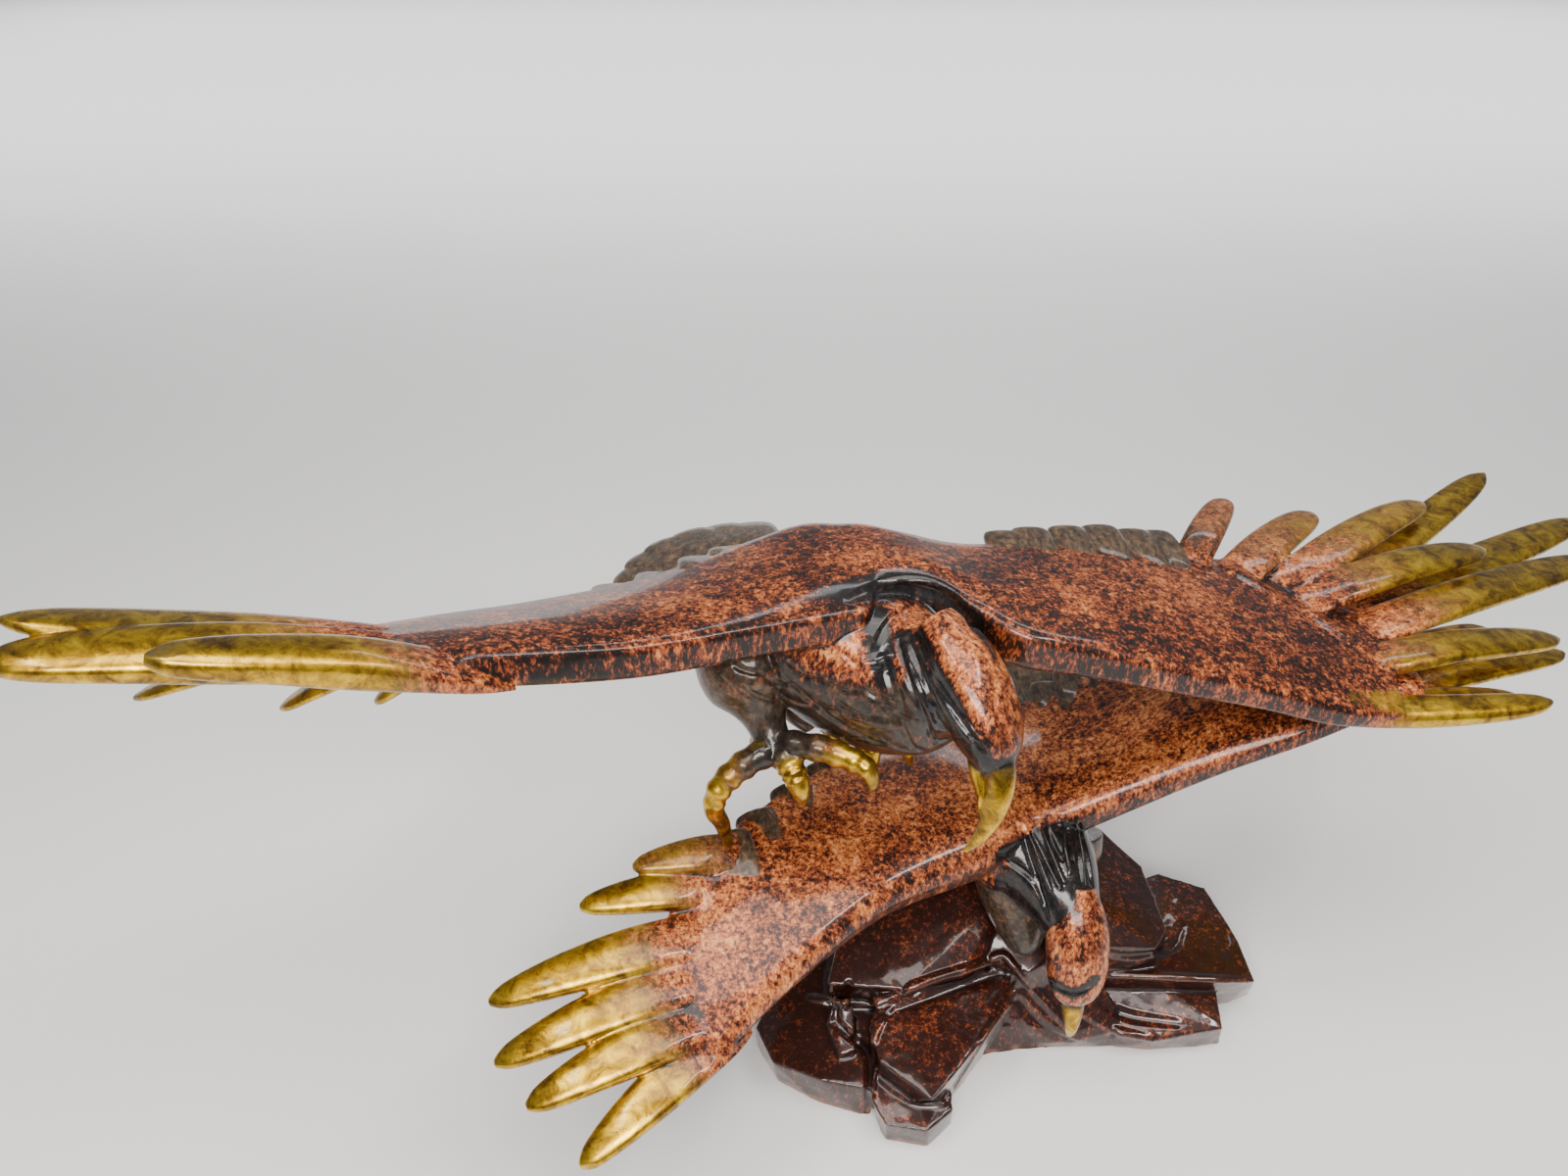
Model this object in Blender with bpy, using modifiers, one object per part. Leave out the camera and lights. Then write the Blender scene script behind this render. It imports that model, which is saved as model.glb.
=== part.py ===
"""Cast bronze group of two eagles in flight, one above the other, over a rock plinth.

Metres, +Z up. The origin is on the underside of the rock. The birds' poses are drawn at
DRAWN_SPAN across and held as shares of SPAN; the rock is drawn at its own length, depth and
height and scaled by each of them alone.
"""

import bmesh
import bpy
import numpy as np

# The sizes that drive the group
SPAN = 0.920
ROCK_LENGTH = 0.360
ROCK_DEPTH = 0.240
ROCK_HEIGHT = 0.105
SEAT_GAP = 0.0003

# The sizes that the shapes below were drawn at
DRAWN_SPAN = 0.920
DRAWN_LENGTH = 0.360
DRAWN_DEPTH = 0.240
DRAWN_HEIGHT = 0.105

# The point of the rock that the lower eagle stands on, as drawn
DRAWN_SEAT = np.array([0.020, -0.015, 0.085])

# How finely the birds and the rock are faceted
BIRD_VOXEL_SHARE = 0.0026
ROCK_VOXEL_SHARE = 0.0085
UPPER_FACES = 4200
LOWER_FACES = 3700
ROCK_FACES = 1500

SHARE = SPAN / DRAWN_SPAN
ROCK_SCALE = np.array(
    [ROCK_LENGTH / DRAWN_LENGTH, ROCK_DEPTH / DRAWN_DEPTH, ROCK_HEIGHT / DRAWN_HEIGHT]
)
SEAT = DRAWN_SEAT * ROCK_SCALE


def placed(points):
    """Bird points from the drawing to the group: scaled about the seat and stood on the rock."""
    return SEAT + (np.asarray(points, float) - DRAWN_SEAT) * SHARE


# Curves and lofts


def smooth_rows(rows, count):
    """Rows of numbers read at even steps along a Catmull-Rom curve through them."""
    rows = np.array(rows, float)
    last = len(rows) - 1
    out = []
    for step in range(count):
        s = step * last / (count - 1)
        k = min(int(s), last - 1)
        t = s - k
        before = rows[max(k - 1, 0)]
        start = rows[k]
        end = rows[k + 1]
        after = rows[min(k + 2, last)]
        out.append(
            0.5
            * (
                2 * start
                + (end - before) * t
                + (2 * before - 5 * start + 4 * end - after) * t**2
                + (3 * start - before - 3 * end + after) * t**3
            )
        )
    return np.array(out)


def unit(v):
    v = np.asarray(v, float)
    return v / np.linalg.norm(v)


def skin(rings):
    """A closed form over rings of equal length, with a pole at each end."""
    rings = np.asarray(rings, float)
    count, size = rings.shape[:2]
    verts = [tuple(p) for p in rings.reshape(-1, 3)]
    verts.append(tuple(rings[0].mean(axis=0)))
    verts.append(tuple(rings[-1].mean(axis=0)))
    faces = []
    for i in range(count - 1):
        for j in range(size):
            k = (j + 1) % size
            a = i * size + j
            b = i * size + k
            faces.append((a, b, b + size, a + size))
    first = count * size
    last = first + 1
    for j in range(size):
        k = (j + 1) % size
        faces.append((k, j, first))
        faces.append(((count - 1) * size + j, (count - 1) * size + k, last))
    return verts, faces


def limb(rows, side, steps=16, around=14):
    """A round form along a path. Each row is x, y, z, half width along side, half height."""
    rows = smooth_rows(rows, steps)
    path = rows[:, :3]
    tangents = np.gradient(path, axis=0)
    rings = []
    for place, tangent, row in zip(path, tangents, rows):
        up = unit(np.cross(unit(tangent), side))
        across = unit(np.cross(up, tangent))
        wide = max(row[3], 0.0004)
        high = max(row[4], 0.0004)
        ring = []
        for j in range(around):
            a = 2 * np.pi * j / around
            ring.append(place + across * wide * np.cos(a) + up * high * np.sin(a))
        rings.append(ring)
    return skin(rings)


# Wing sections: share of the chord, half thickness above and below the middle
ROLLED_SECTION = [
    (0.0, 0.40, 0.40), (0.015, 0.62, 0.62), (0.06, 0.90, 0.90), (0.14, 1.0, 1.0), (0.28, 0.92, 0.92),
    (0.48, 0.68, 0.68), (0.72, 0.46, 0.46), (0.92, 0.33, 0.33), (1.0, 0.20, 0.20),
]
CRESTED_SECTION = [
    (0.0, 0.62, 0.34), (0.008, 0.86, 0.56), (0.035, 1.0, 0.84), (0.12, 1.0, 0.98), (0.28, 0.92, 0.92),
    (0.48, 0.68, 0.68), (0.72, 0.46, 0.46), (0.92, 0.33, 0.33), (1.0, 0.20, 0.20),
]


def wing(rows, section, steps=52, camber=0.05):
    """A wing skin. Each row is a leading edge point, a trailing edge point and a thickness."""
    rows = smooth_rows(rows, steps)
    middles = (rows[:, :3] + rows[:, 3:6]) / 2
    spans = np.gradient(middles, axis=0)
    rings = []
    for row, span in zip(rows, spans):
        front = row[:3]
        back = row[3:6]
        chord = back - front
        up = unit(np.cross(chord, span))
        if up[2] < 0:
            up = -up
        top = []
        low = []
        for at, above, below in section:
            base = front + chord * at + up * camber * 4 * at * (1 - at) * np.linalg.norm(chord)
            top.append(base + up * above * row[6] / 2)
            low.append(base - up * below * row[6] / 2)
        rings.append(top + low[::-1])
    return skin(rings)


FEATHER_AT = [0.0, 0.15, 0.45, 0.70, 0.86, 0.95, 1.0]
FEATHER_WIDE = [0.55, 0.92, 1.0, 0.94, 0.80, 0.56, 0.14]
LEAF_WIDE = [0.70, 0.96, 1.0, 0.84, 0.64, 0.44, 0.14]
SCALLOP_WIDE = [0.95, 1.0, 1.0, 1.0, 0.95, 0.78, 0.30]
FEATHER_THICK = [0.45, 0.90, 0.95, 0.82, 0.68, 0.52, 0.25]


def feather(root, tip, width, thick, up, bow=0.06, shape=FEATHER_WIDE, steps=10, around=12):
    """A finger feather: a bowed blade with a rounded tip and a crowned top."""
    root = np.asarray(root, float)
    tip = np.asarray(tip, float)
    along = tip - root
    length = np.linalg.norm(along)
    across = unit(np.cross(along, up))
    normal = unit(np.cross(across, along))
    rings = []
    for step in range(steps):
        s = 1 - (1 - step / (steps - 1)) ** 1.3
        bend = 4 * s * (1 - s) * length
        place = root + along * s + normal * bow * bend
        wide = width / 2 * np.interp(s, FEATHER_AT, shape)
        high = thick / 2 * np.interp(s, FEATHER_AT, FEATHER_THICK)
        ring = []
        for j in range(around):
            a = 2 * np.pi * j / around
            ring.append(place + across * wide * np.cos(a) + normal * high * np.sin(a))
        rings.append(ring)
    return skin(rings)


def edge_row(edge, count, inward, length, width, thick, up):
    """Short overlapping feathers along a trailing edge, by even steps."""
    places = smooth_rows(edge, count)
    forms = []
    for i, place in enumerate(places):
        lift = 0.0008 * (i % 2)
        tip = place + np.array([0, 0, lift])
        root = tip + unit(inward) * length
        forms.append(feather(root, tip, width, thick, up, 0.02, SCALLOP_WIDE))
    return forms


def tail_fan(root, back, side, up, length, spread, count, width, thick):
    """A tail of overlapping feathers that fan out from one root."""
    forms = []
    for i in range(count):
        t = 2 * i / (count - 1) - 1
        turn = t * spread
        way = unit(back) * np.cos(turn) + unit(side) * np.sin(turn)
        start = np.asarray(root, float) + unit(side) * t * width * 0.35
        tip = start + way * length * (1 - 0.10 * t * t) - unit(up) * 0.004 * abs(t)
        forms.append(feather(start, tip, width, thick, up, 0.015, SCALLOP_WIDE))
    return forms


def head_forms(centre, ahead, up, size, hook):
    """Skull, hood, brow and beak of an eagle looking ahead.

    size is the skull's width, and hook says how far the beak bends down.
    """
    ahead = unit(ahead)
    side = unit(np.cross(ahead, up))
    crown = unit(np.cross(side, ahead))
    centre = np.asarray(centre, float)

    def at(a, s, u):
        return centre + (ahead * a + side * s + crown * u) * size

    skull = [
        (*at(-0.75, 0, -0.08), 0.34 * size, 0.34 * size),
        (*at(-0.35, 0, -0.02), 0.45 * size, 0.44 * size),
        (*at(0.05, 0, -0.03), 0.45 * size, 0.44 * size),
        (*at(0.45, 0, -0.07), 0.38 * size, 0.37 * size),
        (*at(0.74, 0, -0.11), 0.27 * size, 0.27 * size),
        (*at(0.86, 0, -0.12), 0.18 * size, 0.20 * size),
    ]
    hood = [
        (*at(-1.05, 0, 0.02), 0.30 * size, 0.28 * size),
        (*at(-0.55, 0, 0.10), 0.47 * size, 0.38 * size),
        (*at(-0.05, 0, 0.13), 0.50 * size, 0.37 * size),
        (*at(0.38, 0, 0.09), 0.45 * size, 0.30 * size),
        (*at(0.66, 0, 0.03), 0.34 * size, 0.22 * size),
        (*at(0.78, 0, 0.00), 0.22 * size, 0.13 * size),
    ]
    forms = [limb(skull, side), limb(hood, side)]
    for s in (-1, 1):
        brow = [
            (*at(0.05, 0.44 * s, 0.14), 0.03 * size, 0.03 * size),
            (*at(0.36, 0.40 * s, 0.11), 0.055 * size, 0.05 * size),
            (*at(0.62, 0.30 * s, 0.05), 0.05 * size, 0.045 * size),
            (*at(0.74, 0.22 * s, 0.02), 0.02 * size, 0.02 * size),
        ]
        forms.append(limb(brow, side, steps=8, around=8))
    upper = [
        (*at(0.55, 0, -0.08), 0.25 * size, 0.25 * size),
        (*at(0.82, 0, -0.10 - 0.04 * hook), 0.20 * size, 0.22 * size),
        (*at(1.06, 0, -0.12 - 0.16 * hook), 0.155 * size, 0.18 * size),
        (*at(1.27, 0, -0.16 - 0.36 * hook), 0.112 * size, 0.14 * size),
        (*at(1.42, 0, -0.22 - 0.60 * hook), 0.070 * size, 0.085 * size),
        (*at(1.49, 0, -0.30 - 0.82 * hook), 0.025 * size, 0.03 * size),
    ]
    forms.append(limb(upper, side))
    lower = [
        (*at(0.50, 0, -0.24), 0.20 * size, 0.15 * size),
        (*at(0.80, 0, -0.28 - 0.10 * hook), 0.16 * size, 0.13 * size),
        (*at(1.06, 0, -0.29 - 0.20 * hook), 0.12 * size, 0.10 * size),
        (*at(1.24, 0, -0.30 - 0.38 * hook), 0.06 * size, 0.05 * size),
    ]
    forms.append(limb(lower, side, steps=8, around=8))
    return forms


def talon(rows, side):
    """A toe and its claw along a path."""
    return limb(rows, side, steps=14, around=10)


# The upper eagle

UPPER_HEAD = (-0.0485, -0.0672, 0.3154)
UPPER_BODY = [
    (-0.196, 0.079, 0.312, 0.018, 0.008),
    (-0.180, 0.064, 0.312, 0.032, 0.018),
    (-0.155, 0.038, 0.312, 0.042, 0.032),
    (-0.124, 0.010, 0.302, 0.048, 0.048),
    (-0.098, -0.012, 0.296, 0.045, 0.050),
    (-0.078, -0.030, 0.300, 0.038, 0.045),
    (-0.064, -0.046, 0.310, 0.029, 0.033),
    (-0.054, -0.060, 0.314, 0.022, 0.023),
    (-0.050, -0.068, 0.313, 0.013, 0.013),
]
UPPER_WINGS = [
    (-0.370, -0.136, 0.386, -0.380, -0.052, 0.348, 0.012),
    (-0.330, -0.123, 0.374, -0.342, -0.022, 0.337, 0.017),
    (-0.288, -0.106, 0.362, -0.298, 0.004, 0.328, 0.021),
    (-0.226, -0.080, 0.347, -0.238, 0.030, 0.327, 0.022),
    (-0.168, -0.053, 0.339, -0.184, 0.058, 0.332, 0.023),
    (-0.122, -0.036, 0.336, -0.142, 0.078, 0.337, 0.025),
    (-0.104, -0.030, 0.335, -0.116, 0.078, 0.338, 0.026),
    (-0.097, -0.010, 0.334, -0.100, 0.077, 0.338, 0.029),
    (-0.070, -0.004, 0.333, -0.078, 0.072, 0.335, 0.031),
    (-0.044, -0.026, 0.330, -0.048, 0.070, 0.329, 0.029),
    (-0.020, -0.042, 0.326, -0.020, 0.075, 0.325, 0.026),
    (0.018, -0.043, 0.318, 0.020, 0.086, 0.321, 0.024),
    (0.066, -0.044, 0.307, 0.070, 0.098, 0.314, 0.022),
    (0.122, -0.043, 0.293, 0.128, 0.098, 0.302, 0.019),
    (0.168, -0.043, 0.280, 0.178, 0.076, 0.294, 0.016),
    (0.205, -0.038, 0.276, 0.218, 0.046, 0.290, 0.011),
]
UPPER_RIGHT_FINGERS = [
    (-0.284, -0.100, 0.353, -0.418, -0.163, 0.413, 0.030),
    (-0.312, -0.098, 0.363, -0.498, -0.150, 0.402, 0.034),
    (-0.322, -0.082, 0.363, -0.500, -0.128, 0.409, 0.032),
    (-0.318, -0.060, 0.354, -0.482, -0.088, 0.333, 0.032),
    (-0.306, -0.040, 0.343, -0.418, -0.072, 0.313, 0.030),
    (-0.294, -0.022, 0.336, -0.376, -0.052, 0.301, 0.026),
    (-0.282, -0.006, 0.331, -0.346, -0.032, 0.300, 0.024),
]
UPPER_LEFT_FINGERS = [
    (0.150, -0.031, 0.283, 0.298, -0.024, 0.279, 0.023),
    (0.164, -0.006, 0.288, 0.333, 0.034, 0.283, 0.028),
    (0.170, 0.016, 0.292, 0.400, 0.116, 0.291, 0.032),
    (0.166, 0.034, 0.292, 0.420, 0.168, 0.292, 0.033),
    (0.156, 0.044, 0.297, 0.318, 0.109, 0.303, 0.031),
    (0.180, 0.056, 0.291, 0.374, 0.219, 0.303, 0.028),
    (0.150, 0.056, 0.296, 0.302, 0.166, 0.307, 0.030),
    (0.122, 0.060, 0.300, 0.222, 0.158, 0.303, 0.030),
    (0.100, 0.062, 0.304, 0.157, 0.154, 0.316, 0.024),
]
# Thickness and bow of each finger on that wing
UPPER_LEFT_BLADES = [
    (0.0145, -0.035), (0.0120, 0.03), (0.0110, 0.01), (0.0110, -0.01), (0.0105, 0.04),
    (0.0105, -0.02), (0.0105, 0.04), (0.0105, 0.03), (0.0105, 0.05),
]

# The lower eagle

LOWER_HEAD = (0.0350, -0.0640, 0.1080)
LOWER_BODY = [
    (-0.002, 0.106, 0.172, 0.020, 0.009),
    (0.000, 0.088, 0.168, 0.032, 0.016),
    (0.003, 0.058, 0.160, 0.042, 0.026),
    (0.006, 0.026, 0.150, 0.047, 0.034),
    (0.012, -0.002, 0.143, 0.044, 0.034),
    (0.022, -0.022, 0.138, 0.034, 0.029),
    (0.029, -0.040, 0.130, 0.025, 0.025),
    (0.034, -0.054, 0.119, 0.019, 0.020),
    (0.035, -0.062, 0.110, 0.012, 0.012),
]
LOWER_WINGS = [
    (-0.204, -0.170, 0.119, -0.222, -0.090, 0.163, 0.012),
    (-0.180, -0.148, 0.129, -0.206, -0.060, 0.172, 0.018),
    (-0.148, -0.118, 0.140, -0.178, -0.026, 0.182, 0.023),
    (-0.090, -0.072, 0.153, -0.122, 0.024, 0.184, 0.028),
    (-0.026, -0.040, 0.153, -0.050, 0.066, 0.186, 0.033),
    (0.016, -0.018, 0.157, 0.006, 0.086, 0.184, 0.032),
    (0.056, -0.011, 0.175, 0.050, 0.100, 0.192, 0.026),
    (0.122, -0.009, 0.213, 0.116, 0.110, 0.222, 0.022),
    (0.168, -0.013, 0.241, 0.172, 0.098, 0.242, 0.018),
    (0.204, -0.018, 0.270, 0.212, 0.070, 0.260, 0.018),
    (0.230, -0.014, 0.274, 0.240, 0.040, 0.266, 0.013),
]
LOWER_RIGHT_FINGERS = [
    (-0.174, -0.132, 0.136, -0.258, -0.206, 0.110, 0.028),
    (-0.178, -0.128, 0.144, -0.289, -0.183, 0.128, 0.029),
    (-0.180, -0.108, 0.155, -0.310, -0.161, 0.134, 0.029),
    (-0.180, -0.088, 0.163, -0.317, -0.133, 0.150, 0.029),
    (-0.176, -0.062, 0.170, -0.271, -0.083, 0.172, 0.025),
    (-0.160, -0.040, 0.177, -0.241, -0.063, 0.184, 0.024),
]
LOWER_LEFT_FINGERS = [
    (0.190, -0.010, 0.263, 0.300, 0.000, 0.262, 0.024),
    (0.190, 0.004, 0.259, 0.352, 0.048, 0.262, 0.027),
    (0.186, 0.022, 0.255, 0.318, 0.078, 0.260, 0.027),
    (0.178, 0.042, 0.250, 0.304, 0.114, 0.258, 0.027),
    (0.166, 0.056, 0.245, 0.280, 0.148, 0.254, 0.027),
    (0.148, 0.066, 0.238, 0.236, 0.158, 0.248, 0.026),
]


def wing_fingers(rows, thick, up, bow=0.05, shape=FEATHER_WIDE):
    forms = []
    for row in rows:
        forms.append(feather(row[:3], row[3:6], row[6], thick, up, bow, shape))
    return forms


def leg_forms(rows, toes, side):
    """A feathered thigh and bare shank along a path, and the toes that curl from the foot."""
    forms = [limb(rows, side, steps=14, around=12)]
    for toe in toes:
        forms.append(talon(toe, side))
    return forms


UPPER_SIDE = (0.80, 0.60, 0.0)
UPPER_NEAR_LEG = [
    (-0.174, 0.004, 0.298, 0.0310, 0.0310),
    (-0.170, -0.006, 0.288, 0.0310, 0.0300),
    (-0.166, -0.014, 0.2785, 0.0265, 0.0260),
    (-0.163, -0.021, 0.271, 0.0165, 0.0165),
    (-0.160, -0.027, 0.264, 0.0118, 0.0118),
    (-0.156, -0.034, 0.256, 0.0110, 0.0110),
]
UPPER_NEAR_TOES = [
    [
        (-0.154, -0.036, 0.256, 0.0092, 0.0092),
        (-0.172, -0.046, 0.2515, 0.0085, 0.0085),
        (-0.186, -0.053, 0.241, 0.0076, 0.0076),
        (-0.191, -0.056, 0.226, 0.0063, 0.0063),
        (-0.187, -0.050, 0.207, 0.0049, 0.0049),
        (-0.184, -0.046, 0.184, 0.0032, 0.0032),
    ],
    [
        (-0.154, -0.036, 0.256, 0.0088, 0.0088),
        (-0.146, -0.050, 0.252, 0.0081, 0.0081),
        (-0.141, -0.058, 0.243, 0.0063, 0.0063),
        (-0.140, -0.058, 0.230, 0.0024, 0.0024),
    ],
    [
        (-0.154, -0.036, 0.258, 0.0088, 0.0088),
        (-0.128, -0.048, 0.264, 0.0078, 0.0078),
        (-0.106, -0.058, 0.261, 0.0068, 0.0068),
        (-0.100, -0.062, 0.252, 0.0044, 0.0044),
        (-0.101, -0.062, 0.244, 0.0015, 0.0015),
    ],
    [
        (-0.154, -0.034, 0.256, 0.0083, 0.0083),
        (-0.162, -0.022, 0.250, 0.0068, 0.0068),
        (-0.166, -0.018, 0.240, 0.0051, 0.0051),
        (-0.164, -0.020, 0.230, 0.0015, 0.0015),
    ],
]
UPPER_FAR_LEG = [
    (-0.128, 0.024, 0.290, 0.0270, 0.0260),
    (-0.134, 0.016, 0.277, 0.0235, 0.0235),
    (-0.137, 0.010, 0.267, 0.0175, 0.0175),
    (-0.141, 0.005, 0.257, 0.0140, 0.0140),
    (-0.130, 0.001, 0.245, 0.0110, 0.0110),
]
UPPER_FAR_TOES = [
    [
        (-0.122, 0.002, 0.243, 0.0083, 0.0083),
        (-0.100, -0.014, 0.242, 0.0071, 0.0071),
        (-0.097, -0.022, 0.234, 0.0053, 0.0053),
        (-0.096, -0.022, 0.220, 0.0015, 0.0015),
    ],
    [
        (-0.122, 0.002, 0.243, 0.0083, 0.0083),
        (-0.086, -0.008, 0.242, 0.0068, 0.0068),
        (-0.076, -0.014, 0.236, 0.0050, 0.0050),
        (-0.072, -0.014, 0.222, 0.0015, 0.0015),
    ],
    [
        (-0.122, 0.002, 0.243, 0.0083, 0.0083),
        (-0.118, -0.002, 0.240, 0.0066, 0.0066),
        (-0.124, -0.008, 0.230, 0.0047, 0.0047),
        (-0.122, -0.008, 0.220, 0.0015, 0.0015),
    ],
    [
        (-0.122, 0.002, 0.243, 0.0078, 0.0078),
        (-0.106, 0.020, 0.238, 0.0064, 0.0064),
        (-0.106, 0.026, 0.230, 0.0045, 0.0045),
        (-0.105, 0.024, 0.220, 0.0015, 0.0015),
    ],
]


def upper_eagle_forms():
    up = (0.0, 0.0, 1.0)
    lean = unit((-0.04, 0.55, 0.88))
    forms = [limb(UPPER_BODY, UPPER_SIDE, steps=24, around=20)]
    forms += head_forms(UPPER_HEAD, (0.42, -0.71, -0.55), (0.75, -0.32, 0.57), 0.045, 0.95)
    forms.append(wing(UPPER_WINGS, CRESTED_SECTION))
    leans = [(0.15, 0.10, 0.95), (0.10, -0.12, 0.98), (0.15, 0.22, 0.95)]
    outer = zip(UPPER_RIGHT_FINGERS[:3], leans, (0.0215, 0.0200, 0.0150), (0.03, 0.03, 0.0))
    for row, lean_out, thick, bow in outer:
        forms += wing_fingers([row], thick, lean_out, bow)
    forms += wing_fingers(UPPER_RIGHT_FINGERS[3:], 0.0115, (0.05, 0.30, 0.95))
    for row, (thick, bow) in zip(UPPER_LEFT_FINGERS, UPPER_LEFT_BLADES):
        forms += wing_fingers([row], thick, up, bow)
    edge = [(-0.010, 0.094, 0.3255), (0.045, 0.108, 0.3215), (0.094, 0.113, 0.3140)]
    forms += edge_row(edge, 6, (0.02, -1.0, 0.02), 0.050, 0.0260, 0.0085, up)
    edge = [(-0.185, 0.068, 0.3285), (-0.240, 0.040, 0.3225), (-0.298, 0.008, 0.3215)]
    forms += edge_row(edge, 6, (0.15, -0.90, 0.16), 0.050, 0.0290, 0.0085, lean)
    forms += tail_fan(
        (-0.168, 0.054, 0.318), (-0.62, 0.76, -0.17), (0.77, 0.63, 0.0), up, 0.098, 0.50, 6, 0.034, 0.0085
    )
    forms += leg_forms(UPPER_NEAR_LEG, UPPER_NEAR_TOES, UPPER_SIDE)
    forms += leg_forms(UPPER_FAR_LEG, UPPER_FAR_TOES, UPPER_SIDE)
    return forms


LOWER_NEAR_LEG = [
    (-0.001, -0.004, 0.140, 0.0260, 0.0260),
    (0.002, -0.016, 0.119, 0.0240, 0.0240),
    (0.007, -0.026, 0.099, 0.0190, 0.0190),
    (0.010, -0.032, 0.085, 0.0140, 0.0140),
    (0.011, -0.035, 0.074, 0.0060, 0.0060),
]
LOWER_FAR_LEG = [
    (0.038, 0.010, 0.140, 0.0260, 0.0260),
    (0.039, 0.003, 0.126, 0.0245, 0.0245),
    (0.041, -0.002, 0.115, 0.0175, 0.0175),
    (0.042, -0.006, 0.107, 0.0130, 0.0130),
    (0.044, -0.012, 0.094, 0.0110, 0.0110),
]
LOWER_FAR_TOES = [
    [
        (0.044, -0.012, 0.094, 0.0080, 0.0080),
        (0.040, -0.026, 0.090, 0.0066, 0.0066),
        (0.038, -0.034, 0.078, 0.0050, 0.0050),
    ],
    [
        (0.044, -0.012, 0.094, 0.0080, 0.0080),
        (0.052, -0.024, 0.090, 0.0066, 0.0066),
        (0.055, -0.032, 0.080, 0.0050, 0.0050),
    ],
]


def lower_eagle_forms():
    up = (0.0, 0.0, 1.0)
    lean = unit((-0.10, -0.35, 0.90))
    side = (1.0, 0.0, 0.0)
    forms = [limb(LOWER_BODY, side, steps=24, around=20)]
    forms += head_forms(LOWER_HEAD, (0.0, -0.50, -0.87), (0.0, -0.87, 0.50), 0.040, 0.15)
    forms.append(wing(LOWER_WINGS, ROLLED_SECTION))
    forms += wing_fingers(LOWER_RIGHT_FINGERS, 0.0140, lean, 0.05, LEAF_WIDE)
    forms += wing_fingers(LOWER_LEFT_FINGERS, 0.0095, up, 0.02)
    edge = [(-0.128, 0.030, 0.1850), (-0.160, -0.004, 0.1850), (-0.186, -0.032, 0.1820)]
    forms += edge_row(edge, 4, (0.30, -0.90, -0.30), 0.045, 0.0280, 0.0095, lean)
    edge = [(0.040, 0.112, 0.1890), (0.090, 0.124, 0.2080), (0.144, 0.128, 0.2290)]
    forms += edge_row(edge, 6, (0.0, -1.0, -0.05), 0.050, 0.0280, 0.0085, up)
    forms += tail_fan(
        (0.000, 0.084, 0.172), (-0.04, 1.0, 0.03), (1.0, 0.04, 0.0), up, 0.112, 0.45, 6, 0.036, 0.0085
    )
    forms += leg_forms(LOWER_NEAR_LEG, [], side)
    forms += leg_forms(LOWER_FAR_LEG, LOWER_FAR_TOES, side)
    return forms


# The rock

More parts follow.
